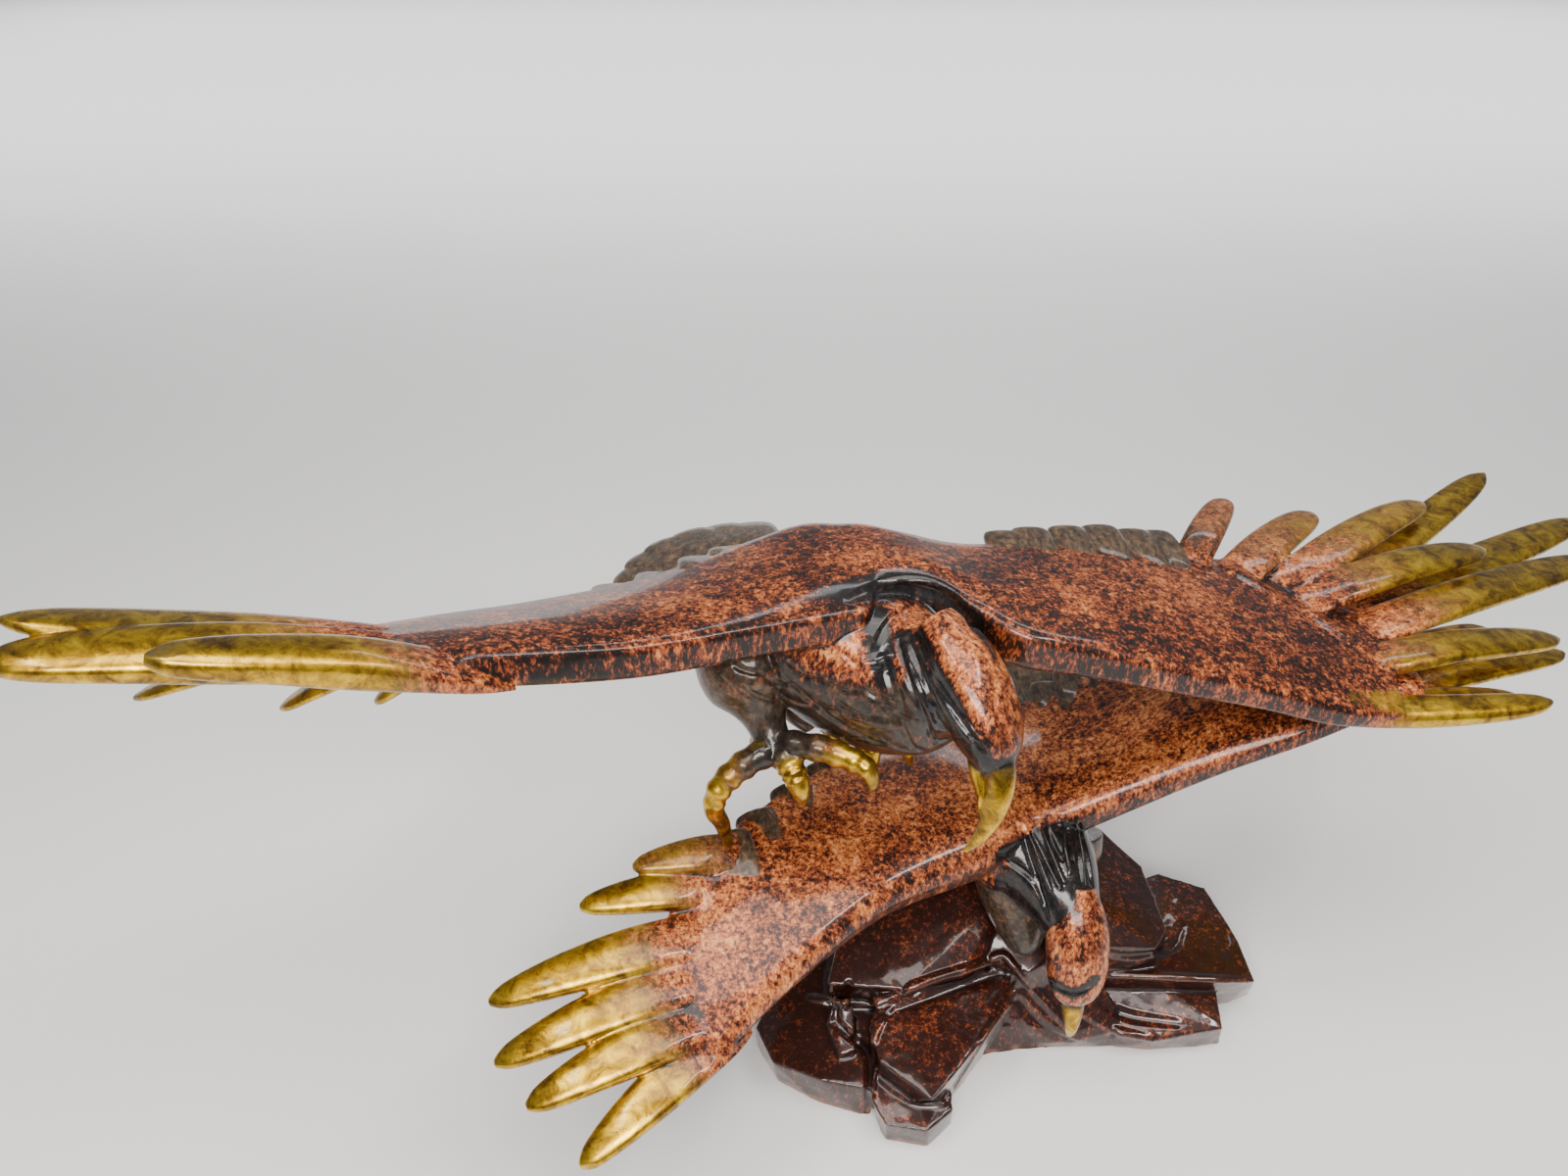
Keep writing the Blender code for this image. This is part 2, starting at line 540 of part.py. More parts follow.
ROCK_BLOCKS = [
    # core under all the others
    [
        (-0.110, -0.050, 0.030), (-0.086, -0.066, 0.024), (-0.050, -0.056, 0.024), (-0.030, -0.050, 0.030),
        (0.060, -0.046, 0.014), (0.130, -0.040, 0.020), (0.140, 0.040, 0.030), (-0.070, 0.060, 0.050),
        (-0.112, -0.056, -0.01), (-0.088, -0.070, -0.01), (-0.050, -0.060, -0.01), (-0.030, -0.056, -0.01),
        (0.060, -0.048, -0.01), (0.140, -0.044, -0.01), (0.150, 0.050, -0.01), (-0.080, 0.070, -0.01),
    ],
    # left lobe
    [
        (-0.169, -0.062, 0.030), (-0.150, -0.026, 0.044), (-0.100, -0.004, 0.052), (-0.082, -0.035, 0.044),
        (-0.092, -0.108, 0.030), (-0.126, -0.101, 0.030), (-0.157, -0.087, 0.028), (-0.166, -0.030, -0.01),
        (-0.168, -0.052, -0.01), (-0.153, -0.079, -0.01), (-0.124, -0.097, -0.01), (-0.094, -0.106, -0.01),
        (-0.080, 0.010, -0.01), (-0.140, 0.010, -0.01), (-0.130, 0.012, 0.040),
    ],
    # low front block
    [
        (-0.094, -0.078, 0.032), (-0.044, -0.080, 0.032), (-0.043, -0.118, 0.024), (-0.060, -0.131, 0.022),
        (-0.086, -0.127, 0.022), (-0.096, -0.108, 0.026), (-0.040, -0.110, -0.01), (-0.058, -0.126, -0.01),
        (-0.084, -0.122, -0.01), (-0.092, -0.080, -0.01), (-0.045, -0.070, -0.01),
    ],
    # front slab
    [
        (-0.084, -0.050, 0.058), (0.004, -0.034, 0.058), (0.002, -0.060, 0.052), (-0.036, -0.100, 0.049),
        (-0.058, -0.126, 0.046), (-0.089, -0.100, 0.048), (-0.095, -0.078, 0.052), (-0.080, -0.050, -0.01),
        (0.000, -0.040, -0.01), (-0.036, -0.088, -0.01), (-0.060, -0.104, 0.012), (-0.084, -0.090, -0.01),
    ],
    # rising back
    [
        (-0.121, -0.050, 0.060), (-0.070, -0.056, 0.062), (-0.032, -0.046, 0.064), (-0.006, -0.030, 0.066),
        (0.012, 0.006, 0.098), (-0.050, 0.024, 0.100), (-0.108, -0.010, 0.082), (-0.120, -0.044, -0.01),
        (0.010, -0.030, -0.01), (0.020, 0.090, -0.01), (-0.090, 0.094, -0.01), (-0.124, 0.030, -0.01),
        (0.010, 0.066, 0.094), (-0.060, 0.066, 0.086),
    ],
    # middle crest
    [
        (-0.010, -0.034, 0.066), (0.014, -0.044, 0.064), (0.030, -0.036, 0.072), (0.060, -0.030, 0.072),
        (0.060, 0.050, 0.098), (0.000, 0.060, 0.100), (-0.020, 0.000, 0.090), (-0.010, -0.036, -0.01),
        (0.060, -0.034, -0.01), (0.070, 0.080, -0.01), (-0.030, 0.080, -0.01), (0.034, 0.010, 0.092),
    ],
    # middle foot
    [
        (0.000, -0.044, 0.044), (0.040, -0.040, 0.048), (0.070, -0.036, 0.040), (0.084, -0.056, 0.020),
        (0.050, -0.060, 0.014), (0.016, -0.056, 0.024), (-0.014, -0.050, 0.030), (0.086, -0.052, -0.01),
        (0.050, -0.052, -0.01), (-0.014, -0.050, -0.01), (0.000, -0.030, -0.01), (0.070, -0.030, -0.01),
    ],
    # right boulder
    [
        (0.040, -0.030, 0.080), (0.066, -0.034, 0.078), (0.102, -0.030, 0.072), (0.114, -0.014, 0.072),
        (0.108, 0.036, 0.080), (0.082, 0.062, 0.092), (0.046, 0.050, 0.100), (0.050, 0.000, 0.098),
        (0.036, -0.034, -0.01), (0.116, -0.020, -0.01), (0.116, 0.070, -0.01), (0.040, 0.080, -0.01),
    ],
    # right block
    [
        (0.060, -0.034, 0.048), (0.104, -0.037, 0.050), (0.146, -0.040, 0.049), (0.172, -0.037, 0.046),
        (0.170, -0.006, 0.050), (0.160, 0.040, 0.054), (0.128, 0.050, 0.058), (0.080, 0.030, 0.060),
        (0.062, -0.032, 0.030), (0.148, -0.034, 0.030), (0.176, -0.030, 0.032), (0.190, -0.006, -0.01),
        (0.168, -0.016, -0.01), (0.174, 0.048, -0.01), (0.120, 0.070, -0.01), (0.070, 0.030, -0.01),
        (0.070, -0.020, -0.01),
    ],
    # low right block
    [
        (0.056, -0.032, 0.034), (0.110, -0.030, 0.036), (0.150, -0.030, 0.033), (0.147, -0.060, 0.026),
        (0.100, -0.064, 0.018), (0.078, -0.060, 0.020), (0.154, -0.050, -0.01), (0.101, -0.054, -0.01),
        (0.070, -0.051, -0.01), (0.150, -0.020, -0.01), (0.060, -0.020, -0.01),
    ],
    # knob beside the slab
    [
        (-0.116, -0.056, 0.058), (-0.104, -0.062, 0.052), (-0.104, -0.086, 0.040), (-0.114, -0.088, 0.036),
        (-0.122, -0.070, 0.044), (-0.116, -0.050, 0.020), (-0.100, -0.060, 0.020), (-0.106, -0.086, 0.020),
    ],
    # hidden rear
    [
        (-0.060, 0.060, 0.070), (0.040, 0.070, 0.080), (0.090, 0.066, 0.060), (0.100, 0.092, 0.030),
        (0.020, 0.102, 0.040), (-0.070, 0.090, 0.040), (0.104, 0.096, -0.01), (0.010, 0.108, -0.01),
        (-0.080, 0.098, -0.01), (-0.060, 0.040, -0.01), (0.090, 0.040, -0.01),
    ],
]


def hull(points):
    """The closed facets round a set of points."""
    bm = bmesh.new()
    for point in points:
        bm.verts.new(np.asarray(point, float) * ROCK_SCALE)
    made = bmesh.ops.convex_hull(bm, input=bm.verts)
    inner = made["geom_interior"] + made["geom_unused"]
    spare = list({v for v in inner if isinstance(v, bmesh.types.BMVert)})
    bmesh.ops.delete(bm, geom=spare, context="VERTS")
    bmesh.ops.recalc_face_normals(bm, faces=bm.faces)
    bm.verts.index_update()
    verts = [tuple(v.co) for v in bm.verts]
    faces = [tuple(v.index for v in f.verts) for f in bm.faces]
    bm.free()
    return verts, faces


# From forms to solids


def joined(forms, name):
    """One mesh that holds every form, each facing out."""
    verts = []
    faces = []
    for form_verts, form_faces in forms:
        start = len(verts)
        verts += form_verts
        faces += [tuple(start + i for i in face) for face in form_faces]
    mesh = bpy.data.meshes.new(name)
    mesh.from_pydata(verts, [], faces)
    mesh.validate()
    bm = bmesh.new()
    bm.from_mesh(mesh)
    bmesh.ops.recalc_face_normals(bm, faces=bm.faces)
    bm.to_mesh(mesh)
    bm.free()
    return mesh


def evaluated_mesh(obj, name):
    graph = bpy.context.evaluated_depsgraph_get()
    graph.update()
    return bpy.data.meshes.new_from_object(obj.evaluated_get(graph), depsgraph=graph).copy()


def fused(mesh, name, voxel, smooth):
    """One outer surface over every overlapping form."""
    obj = bpy.data.objects.new(name, mesh)
    helpers.objects.link(obj)
    remesh = obj.modifiers.new("fuse", "REMESH")
    remesh.mode = "VOXEL"
    remesh.voxel_size = voxel
    even = obj.modifiers.new("even", "SMOOTH")
    even.factor = 0.5
    even.iterations = smooth
    out = evaluated_mesh(obj, name)
    bpy.data.objects.remove(obj)
    return out


def solid(mesh, name, faces, colour, rough):
    """A named node with its own finish, thinned to about that many facets."""
    obj = bpy.data.objects.new(name, mesh)
    statue.objects.link(obj)
    mesh.calc_loop_triangles()
    thin = obj.modifiers.new("facets", "DECIMATE")
    thin.ratio = min(1.0, faces / len(mesh.loop_triangles))
    thin.use_collapse_triangulate = True
    finish = bpy.data.materials.new(name + "_finish")
    finish.use_nodes = True
    shader = finish.node_tree.nodes["Principled BSDF"]
    shader.inputs["Base Color"].default_value = colour
    shader.inputs["Roughness"].default_value = rough
    shader.inputs["Metallic"].default_value = 0.6
    mesh.materials.append(finish)
    return obj


def swollen(obj, name, gap):
    """A cutter: the facets of a node moved out by the gap."""
    mesh = evaluated_mesh(obj, name)
    cutter = bpy.data.objects.new(name, mesh)
    cutter.hide_render = True
    cutter.display_type = "WIRE"
    helpers.objects.link(cutter)
    grow = cutter.modifiers.new("gap", "DISPLACE")
    grow.strength = gap
    grow.mid_level = 0.0
    grow.direction = "NORMAL"
    return cutter


def cut(obj, cutter, name):
    trim = obj.modifiers.new(name, "BOOLEAN")
    trim.operation = "DIFFERENCE"
    trim.solver = "EXACT"
    trim.object = cutter
    return trim


for old in list(bpy.data.objects):
    bpy.data.objects.remove(old)

statue = bpy.data.collections.new("eagle_statue")
helpers = bpy.data.collections.new("cutters")
helpers.hide_render = True
bpy.context.scene.collection.children.link(statue)
bpy.context.scene.collection.children.link(helpers)


def ground_cutter():
    """A slab whose top is the plane that the statue stands on."""
    x = ROCK_LENGTH
    y = ROCK_DEPTH
    corners = [(-x, -y), (x, -y), (x, y), (-x, y)]
    verts = [(*corner, -0.05) for corner in corners] + [(*corner, 0) for corner in corners]
    faces = [(0, 3, 2, 1), (4, 5, 6, 7), (0, 1, 5, 4), (1, 2, 6, 5), (2, 3, 7, 6), (3, 0, 4, 7)]
    mesh = bpy.data.meshes.new("ground")
    mesh.from_pydata(verts, [], faces)
    obj = bpy.data.objects.new("ground", mesh)
    obj.hide_render = True
    obj.display_type = "WIRE"
    helpers.objects.link(obj)
    return obj


def bird_mesh(forms, name):
    at_place = [([tuple(p) for p in placed(verts)], faces) for verts, faces in forms]
    return fused(joined(at_place, name), name, BIRD_VOXEL_SHARE * SPAN, 2)


blocks = joined([hull(block) for block in ROCK_BLOCKS], "rock_base")
rock_mesh = fused(blocks, "rock_base", ROCK_VOXEL_SHARE * ROCK_LENGTH, 3)
rock = solid(rock_mesh, "rock_base", ROCK_FACES, (0.13, 0.035, 0.02, 1), 0.25)
cut(rock, ground_cutter(), "underside")

lower_mesh = bird_mesh(lower_eagle_forms(), "lower_eagle")
lower = solid(lower_mesh, "lower_eagle", LOWER_FACES, (0.45, 0.13, 0.06, 1), 0.25)
cut(lower, swollen(rock, "rock_clearance", SEAT_GAP), "rock seat")

upper_mesh = bird_mesh(upper_eagle_forms(), "upper_eagle")
upper = solid(upper_mesh, "upper_eagle", UPPER_FACES, (0.40, 0.10, 0.05, 1), 0.25)
cut(upper, swollen(lower, "lower_clearance", SEAT_GAP), "wing seat")
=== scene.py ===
"""Cast bronze group of two eagles in flight, one above the other, over a rock plinth.

Metres, +Z up. Each bird and the rock is one fused casting: forms along curves, joined into one
skin, pressed with the finer carving, and toned point by point for its patina, with painted shade
in its hollows and on the wings' leading faces and undersides.
"""

import math

import bmesh
import bpy
import numpy as np
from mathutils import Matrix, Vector, noise
from mathutils.bvhtree import BVHTree


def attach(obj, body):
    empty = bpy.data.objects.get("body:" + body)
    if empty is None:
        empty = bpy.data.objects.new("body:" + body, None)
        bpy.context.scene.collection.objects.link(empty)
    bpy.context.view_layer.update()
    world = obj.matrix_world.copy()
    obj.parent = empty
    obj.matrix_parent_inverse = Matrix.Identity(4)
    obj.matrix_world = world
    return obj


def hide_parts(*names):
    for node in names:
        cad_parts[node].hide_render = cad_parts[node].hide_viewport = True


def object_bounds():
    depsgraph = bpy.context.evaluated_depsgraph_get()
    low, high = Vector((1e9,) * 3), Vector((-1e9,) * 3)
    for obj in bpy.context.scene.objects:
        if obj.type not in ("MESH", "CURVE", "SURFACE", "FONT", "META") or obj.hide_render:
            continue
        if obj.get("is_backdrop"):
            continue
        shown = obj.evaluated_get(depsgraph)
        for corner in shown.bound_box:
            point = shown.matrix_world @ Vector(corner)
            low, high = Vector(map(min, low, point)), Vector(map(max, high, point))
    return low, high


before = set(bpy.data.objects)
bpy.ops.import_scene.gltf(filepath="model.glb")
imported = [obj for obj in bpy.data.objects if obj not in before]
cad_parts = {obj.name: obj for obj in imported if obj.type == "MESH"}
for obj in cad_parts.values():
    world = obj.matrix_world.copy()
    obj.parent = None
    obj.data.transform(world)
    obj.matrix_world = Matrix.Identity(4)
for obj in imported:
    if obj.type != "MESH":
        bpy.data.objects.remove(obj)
cad_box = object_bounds()

# The sizes that drive the group
SPAN = 0.920
ROCK_LENGTH = 0.360
ROCK_DEPTH = 0.240
ROCK_HEIGHT = 0.105

# The sizes that the shapes below were drawn at
DRAWN_SPAN = 0.920
DRAWN_LENGTH = 0.360
DRAWN_DEPTH = 0.240
DRAWN_HEIGHT = 0.105
DRAWN_SEAT = np.array([0.020, -0.015, 0.085])

SHARE = SPAN / DRAWN_SPAN
ROCK_SCALE = np.array(
    [ROCK_LENGTH / DRAWN_LENGTH, ROCK_DEPTH / DRAWN_DEPTH, ROCK_HEIGHT / DRAWN_HEIGHT]
)
SEAT = DRAWN_SEAT * ROCK_SCALE

# The eye that looks at the group, and its lens
EYE = np.array([-0.15, -0.55, 0.70])
EYE_TILT = math.radians(57.0)
LENS = 26.39
SENSOR = 36.0
PICTURE_WIDE = 1600
PICTURE_HIGH = 1200

# How finely each casting is skinned, and how many facets it keeps
BIRD_VOXEL = 0.0008
ROCK_VOXEL = 0.0010
BIRD_FACES = 196000
ROCK_FACES = 150000

MM = 0.001


def placed(points):
    """Bird points from the drawing to the group: scaled about the seat and stood on the rock."""
    return SEAT + (np.asarray(points, float) - DRAWN_SEAT) * SHARE


# Curves and lofts

# The least half width of a limb, and how far every second short feather stands higher
THINNEST = 0.0002
STAGGER = 0.0008
# Tones of the wings: painted shade on the leading face and below, grey along the rear edge and below
FACE_SHADE = 0.10
UNDER_SHADE = 0.30
REAR_GREY = 0.30
UNDER_GREY = 0.25


def metres(rows):
    """Rows of millimetres in metres."""
    return np.array(rows, float) / 1000


def smooth_rows(rows, count):
    """Rows of numbers read at even steps along a Catmull-Rom curve through them."""
    rows = np.array(rows, float)
    last = len(rows) - 1
    s = np.arange(count) * last / (count - 1)
    k = np.minimum(s.astype(int), last - 1)
    t = (s - k)[:, None]
    before = rows[np.maximum(k - 1, 0)]
    start = rows[k]
    end = rows[k + 1]
    after = rows[np.minimum(k + 2, last)]
    bend = (2 * before - 5 * start + 4 * end - after) * t**2
    twist = (3 * start - before - 3 * end + after) * t**3
    return 0.5 * (2 * start + (end - before) * t + bend + twist)


def unit(v):
    v = np.asarray(v, float)
    return v / np.linalg.norm(v)


def rise(value, low, high):
    """0 below low, 1 above high, and a soft step between them."""
    t = np.clip((value - low) / (high - low), 0, 1)
    return t * t * (3 - 2 * t)


def skin(rings, tones):
    """A closed form over rings of equal length, with a pole at each end, and its tones."""
    rings = np.asarray(rings, float)
    count, size = rings.shape[:2]
    tones = np.broadcast_to(np.asarray(tones, float), (count, size, 3))
    verts = np.vstack([rings.reshape(-1, 3), rings[0].mean(axis=0), rings[-1].mean(axis=0)])
    tone = np.vstack([tones.reshape(-1, 3), tones[0].mean(axis=0), tones[-1].mean(axis=0)])
    faces = []
    for i in range(count - 1):
        for j in range(size):
            k = (j + 1) % size
            a = i * size + j
            b = i * size + k
            faces.append((a, b, b + size, a + size))
    first = count * size
    last = first + 1
    for j in range(size):
        k = (j + 1) % size
        faces.append((k, j, first))
        faces.append(((count - 1) * size + j, (count - 1) * size + k, last))
    return verts, faces, tone


def limb(rows, side, tone, steps=40, around=28, swell=None):
    """A round form along a path. Each row is x, y, z, half width along side, half height.

    tone gives gold, dark and grey from the share of the length and the height round the ring.
    swell gives the share by which a ring grows from the share of the length.
    """
    rows = smooth_rows(rows, steps)
    if swell is not None:
        rows[:, 3:] *= 1 + swell(np.linspace(0, 1, steps))[:, None]
    path = rows[:, :3]
    tangents = np.gradient(path, axis=0)
    rings = []
    tones = []
    for step, (place, tangent, row) in enumerate(zip(path, tangents, rows)):
        up = unit(np.cross(unit(tangent), side))
        across = unit(np.cross(up, tangent))
        wide = max(row[3], THINNEST)
        high = max(row[4], THINNEST)
        ring = []
        ring_tones = []
        for j in range(around):
            a = 2 * np.pi * j / around
            ring.append(place + across * wide * np.cos(a) + up * high * np.sin(a))
            ring_tones.append(tone(step / (steps - 1), np.sin(a)))
        rings.append(ring)
        tones.append(ring_tones)
    return skin(rings, tones)


# Wing sections: share of the chord, half thickness above and below the middle
ROLLED_SECTION = [
    (0.0, 0.40, 0.40), (0.015, 0.62, 0.62), (0.06, 0.90, 0.90), (0.14, 1.0, 1.0), (0.28, 0.92, 0.92),
    (0.48, 0.68, 0.68), (0.72, 0.46, 0.46), (0.92, 0.33, 0.33), (1.0, 0.20, 0.20),
]
CRESTED_SECTION = [
    (0.0, 0.62, 0.34), (0.008, 0.86, 0.56), (0.035, 1.0, 0.84), (0.12, 1.0, 0.98), (0.28, 0.92, 0.92),
    (0.48, 0.68, 0.68), (0.72, 0.46, 0.46), (0.92, 0.33, 0.33), (1.0, 0.20, 0.20),
]


def wing(rows, section, deep):
    """A wing skin. Each row is a leading edge point, a trailing edge point and a thickness.

    deep says how much darker the red lies on it.
    """
    camber = 0.05
    rows = smooth_rows(rows, 200)
    section = smooth_rows(section, 46)
    middles = (rows[:, :3] + rows[:, 3:6]) / 2
    spans = np.gradient(middles, axis=0)
    rings = []
    tones = []
    for row, span in zip(rows, spans):
        front = row[:3]
        chord = row[3:6] - front
        up = unit(np.cross(chord, span))
        if up[2] < 0:
            up = -up
        arch = camber * 4 * np.linalg.norm(chord)
        top = []
        low = []
        for at, above, below in section:
            base = front + chord * at + up * arch * at * (1 - at)
            top.append(base + up * above * row[6] / 2)
            low.append(base - up * below * row[6] / 2)
        rings.append(top + low[::-1])
        face = 1 - rise(section[:, 0], 0.0, 0.03)
        # painted shade on the leading face and on the underside, added to the darker red that deep gives
        shade = np.concatenate([deep + FACE_SHADE * face, UNDER_SHADE + 0 * face])
        grey = np.concatenate([REAR_GREY * rise(section[:, 0], 0.80, 1.0), UNDER_GREY + 0 * face])
        tones.append(np.stack([0 * shade, shade, grey], axis=1))
    return skin(rings, tones)


FEATHER_AT = [0.0, 0.15, 0.45, 0.70, 0.86, 0.95, 1.0]
FEATHER_WIDE = [0.55, 0.92, 1.0, 0.94, 0.80, 0.56, 0.14]
LEAF_WIDE = [0.70, 0.96, 1.0, 0.84, 0.64, 0.44, 0.14]
SCALLOP_WIDE = [0.95, 1.0, 1.0, 1.0, 0.95, 0.78, 0.30]
FEATHER_THICK = [0.12, 0.58, 0.95, 0.82, 0.68, 0.52, 0.25]


def finger_tone(gold):
    """A finger feather's tones: mottled at its root, then brown, then gold to its tip and rims."""

    def tone(s, rim):
        leaf = rise(s, 0.12, 0.74) * gold
        leaf = min(1.0, leaf + 0.35 * gold * rim * float(rise(s, 0.20, 0.45)))
        brown = 0.50 * float(rise(s, 0.08, 0.40))
        return (float(leaf), 0.0, brown)

    return tone


def quill_tone(s, rim):
    """The short feathers: grey-brown, with a little gold towards the tip."""
    return (0.16 * float(rise(s, 0.5, 1.0)), 0.15, 0.72)


def feather(root, tip, width, thick, up, bow, shape, tone=quill_tone, sink=0.0):
    """A feather: a bowed blade with a rounded tip and a crowned top. sink lowers its root."""
    steps = 44
    around = 30
    root = np.asarray(root, float)
    tip = np.asarray(tip, float)
    along = tip - root
    length = np.linalg.norm(along)
    across = unit(np.cross(along, up))
    normal = unit(np.cross(across, along))
    widths = smooth_rows(list(zip(FEATHER_AT, shape, FEATHER_THICK)), 40)
    rings = []
    tones = []
    for step in range(steps):
        s = 1 - (1 - step / (steps - 1)) ** 1.6
        bend = 4 * s * (1 - s) * length
        place = root + along * s + normal * (bow * bend - sink * (1 - s) ** 3)
        wide = width / 2 * np.interp(s, widths[:, 0], widths[:, 1])
        high = thick / 2 * np.interp(s, widths[:, 0], widths[:, 2])
        ring = []
        ring_tones = []
        for j in range(around):
            a = 2 * np.pi * j / around
            c = np.sign(np.cos(a)) * abs(np.cos(a)) ** 0.85
            h = np.sign(np.sin(a)) * abs(np.sin(a)) ** 0.70
            ring.append(place + across * wide * c + normal * high * h)
            ring_tones.append(tone(s, abs(np.cos(a)) ** 6))
        rings.append(ring)
        tones.append(ring_tones)
    return skin(rings, tones)


def edge_row(edge, count, inward, length, width, thick, up, climb=0.0):
    """Short overlapping feathers along a trailing edge, by even steps.

    climb raises the roots step by step towards the row's end.
    """
    forms = []
    for i, place in enumerate(smooth_rows(edge, count)):
        tip = place + np.array([0, 0, STAGGER * (i % 2)])
        root = tip + unit(np.array(inward) + (0, 0, climb * i / (count - 1))) * length
        forms.append(feather(root, tip, width, thick, up, 0.02, SCALLOP_WIDE))
    return forms


def tail_fan(root, back, side, up, length, spread, count, width, thick):
    """A tail of overlapping feathers that fan out from one root."""
    forms = []
    for i in range(count):
        t = 2 * i / (count - 1) - 1
        turn = t * spread
        way = unit(back) * np.cos(turn) + unit(side) * np.sin(turn)
        start = np.asarray(root, float) + unit(side) * t * width * 0.35
        tip = start + way * length * (1 - 0.10 * t * t) - unit(up) * 0.004 * abs(t)
        forms.append(feather(start, tip, width, thick, up, 0.015, SCALLOP_WIDE))
    return forms


def face_tone(s, u):
    return (0.0, 0.95, 0.0)


def hood_tone(s, u):
    return (0.0, 0.95 * float(rise(u, -0.10, 0.35)), 0.0)


def beak_tone(s, u):
    return (float(rise(s, 0.10, 0.42)), 0.8 * float(1 - rise(s, 0.1, 0.4)), 0.0)


def head_forms(centre, ahead, up, size, hook):
    """Skull, hood, brow, eyes and beak of an eagle looking ahead.

    size is the skull's width, and hook says how far the beak bends down.
    """
    ahead = unit(ahead)
    side = unit(np.cross(ahead, up))
    crown = unit(np.cross(side, ahead))
    centre = np.asarray(centre, float)

    def shaped(rows, tone, across=side, **fineness):
        """A limb by rows of place ahead, aside and up, half width and half height, in sizes."""
        spots = []
        for a, s, u, wide, high in rows:
            spot = centre + (ahead * a + side * s + crown * u) * size
            spots.append((*spot, wide * size, high * size))
        return limb(spots, across, tone, **fineness)

    skull = [
        (-0.75, 0, -0.08, 0.34, 0.34), (-0.35, 0, -0.02, 0.45, 0.44), (0.05, 0, -0.03, 0.45, 0.44),
        (0.45, 0, -0.07, 0.38, 0.37), (0.74, 0, -0.11, 0.27, 0.27), (0.86, 0, -0.12, 0.18, 0.20),
    ]
    hood = [
        (-1.05, 0, 0.02, 0.30, 0.28), (-0.55, 0, 0.10, 0.47, 0.38), (-0.05, 0, 0.13, 0.50, 0.37),
        (0.38, 0, 0.09, 0.45, 0.30), (0.66, 0, 0.03, 0.34, 0.22), (0.78, 0, 0.00, 0.22, 0.13),
    ]
    forms = [shaped(skull, face_tone), shaped(hood, hood_tone)]
    for s in (-1, 1):
        brow = [
            (0.05, 0.44 * s, 0.14, 0.03, 0.03), (0.36, 0.40 * s, 0.11, 0.055, 0.05),
            (0.62, 0.30 * s, 0.05, 0.05, 0.045), (0.74, 0.22 * s, 0.02, 0.02, 0.02),
        ]
        forms.append(shaped(brow, face_tone, steps=20, around=12))
        eye = [
            (0.42, 0.25 * s, -0.06, 0.05, 0.05), (0.44, 0.33 * s, -0.06, 0.075, 0.075),
            (0.45, 0.385 * s, -0.06, 0.06, 0.06), (0.45, 0.405 * s, -0.06, 0.02, 0.02),
        ]
        forms.append(shaped(eye, face_tone, crown, steps=16, around=16))
    upper = [
        (0.55, 0, -0.08, 0.25, 0.25),
        (0.82, 0, -0.10 - 0.04 * hook, 0.20, 0.22),
        (1.06, 0, -0.12 - 0.16 * hook, 0.155, 0.18),
        (1.27, 0, -0.16 - 0.36 * hook, 0.112, 0.14),
        (1.42, 0, -0.22 - 0.60 * hook, 0.070, 0.085),
        (1.49, 0, -0.30 - 0.82 * hook, 0.025, 0.03),
    ]
    forms.append(shaped(upper, beak_tone))
    lower = [
        (0.50, 0, -0.24, 0.20, 0.15),
        (0.80, 0, -0.28 - 0.10 * hook, 0.16, 0.13),
        (1.06, 0, -0.29 - 0.20 * hook, 0.12, 0.10),
        (1.24, 0, -0.30 - 0.38 * hook, 0.06, 0.05),
    ]
    forms.append(shaped(lower, beak_tone, steps=24, around=20))
    return forms


def toe_tone(s, u):
    under = 0.30 * float(rise(-u, -0.2, 0.6))
    gold = min(1.0, 0.95 * float(rise(s, 0.12, 0.50)) + under)
    return (gold, 0.85 * float(1 - rise(s, 0.05, 0.42)), 0.5)


def scales(s):
    """The rings of scales on a toe, which stop where its claw starts."""
    return 0.075 * np.cos(18 * np.pi * s) * (1 - rise(s, 0.50, 0.66))


def talon(rows, side):
    """A toe and its claw along a path. Each row is x, y, z and a radius."""
    rows = [(*row, row[3]) for row in rows]
    return limb(rows, side, toe_tone, steps=90, around=24, swell=scales)


# Where the forms lie: bodies, wings, fingers and rock in millimetres, the rest in metres

UPPER_HEAD = (-0.0485, -0.0672, 0.3154)
UPPER_BODY = [
    (-196, 79, 312, 18, 8),
    (-180, 64, 312, 32, 18),
    (-155, 38, 312, 42, 32),
    (-124, 10, 302, 48, 48),
    (-98, -12, 296, 45, 50),
    (-78, -30, 300, 38, 45),
    (-64, -46, 310, 29, 33),
    (-54, -60, 314, 22, 23),
    (-50, -68, 313, 13, 13),
]
UPPER_WINGS = [
    (-370, -136, 386, -380, -52, 348, 12),
    (-330, -123, 374, -342, -22, 337, 17),
    (-288, -106, 362, -298, 4, 328, 21),
    (-226, -80, 347, -238, 30, 327, 22),
    (-168, -53, 339, -184, 58, 332, 23),
    (-122, -36, 336, -142, 78, 337, 25),
    (-104, -30, 335, -116, 78, 338, 26),
    (-97, -10, 334, -100, 77, 338, 29),
    (-70, -4, 333, -78, 72, 335, 31),
    (-44, -26, 330, -48, 70, 329, 29),
    (-20, -42, 326, -20, 75, 325, 26),
    (18, -43, 318, 20, 86, 321, 24),
    (66, -44, 307, 70, 98, 314, 22),
    (122, -43, 293, 128, 98, 302, 19),
    (168, -43, 280, 178, 76, 294, 16),
    (205, -38, 276, 218, 46, 290, 11),
]
UPPER_RIGHT_FINGERS = [
    (-284, -100, 353, -418, -163, 413, 30),
    (-312, -98, 363, -498, -150, 402, 34),
    (-322, -82, 363, -500, -128, 409, 32),
    (-318, -60, 354, -482, -88, 333, 32),
    (-306, -40, 343, -418, -72, 313, 30),
    (-294, -22, 336, -376, -52, 301, 26),
    (-282, -6, 331, -346, -32, 300, 24),
]
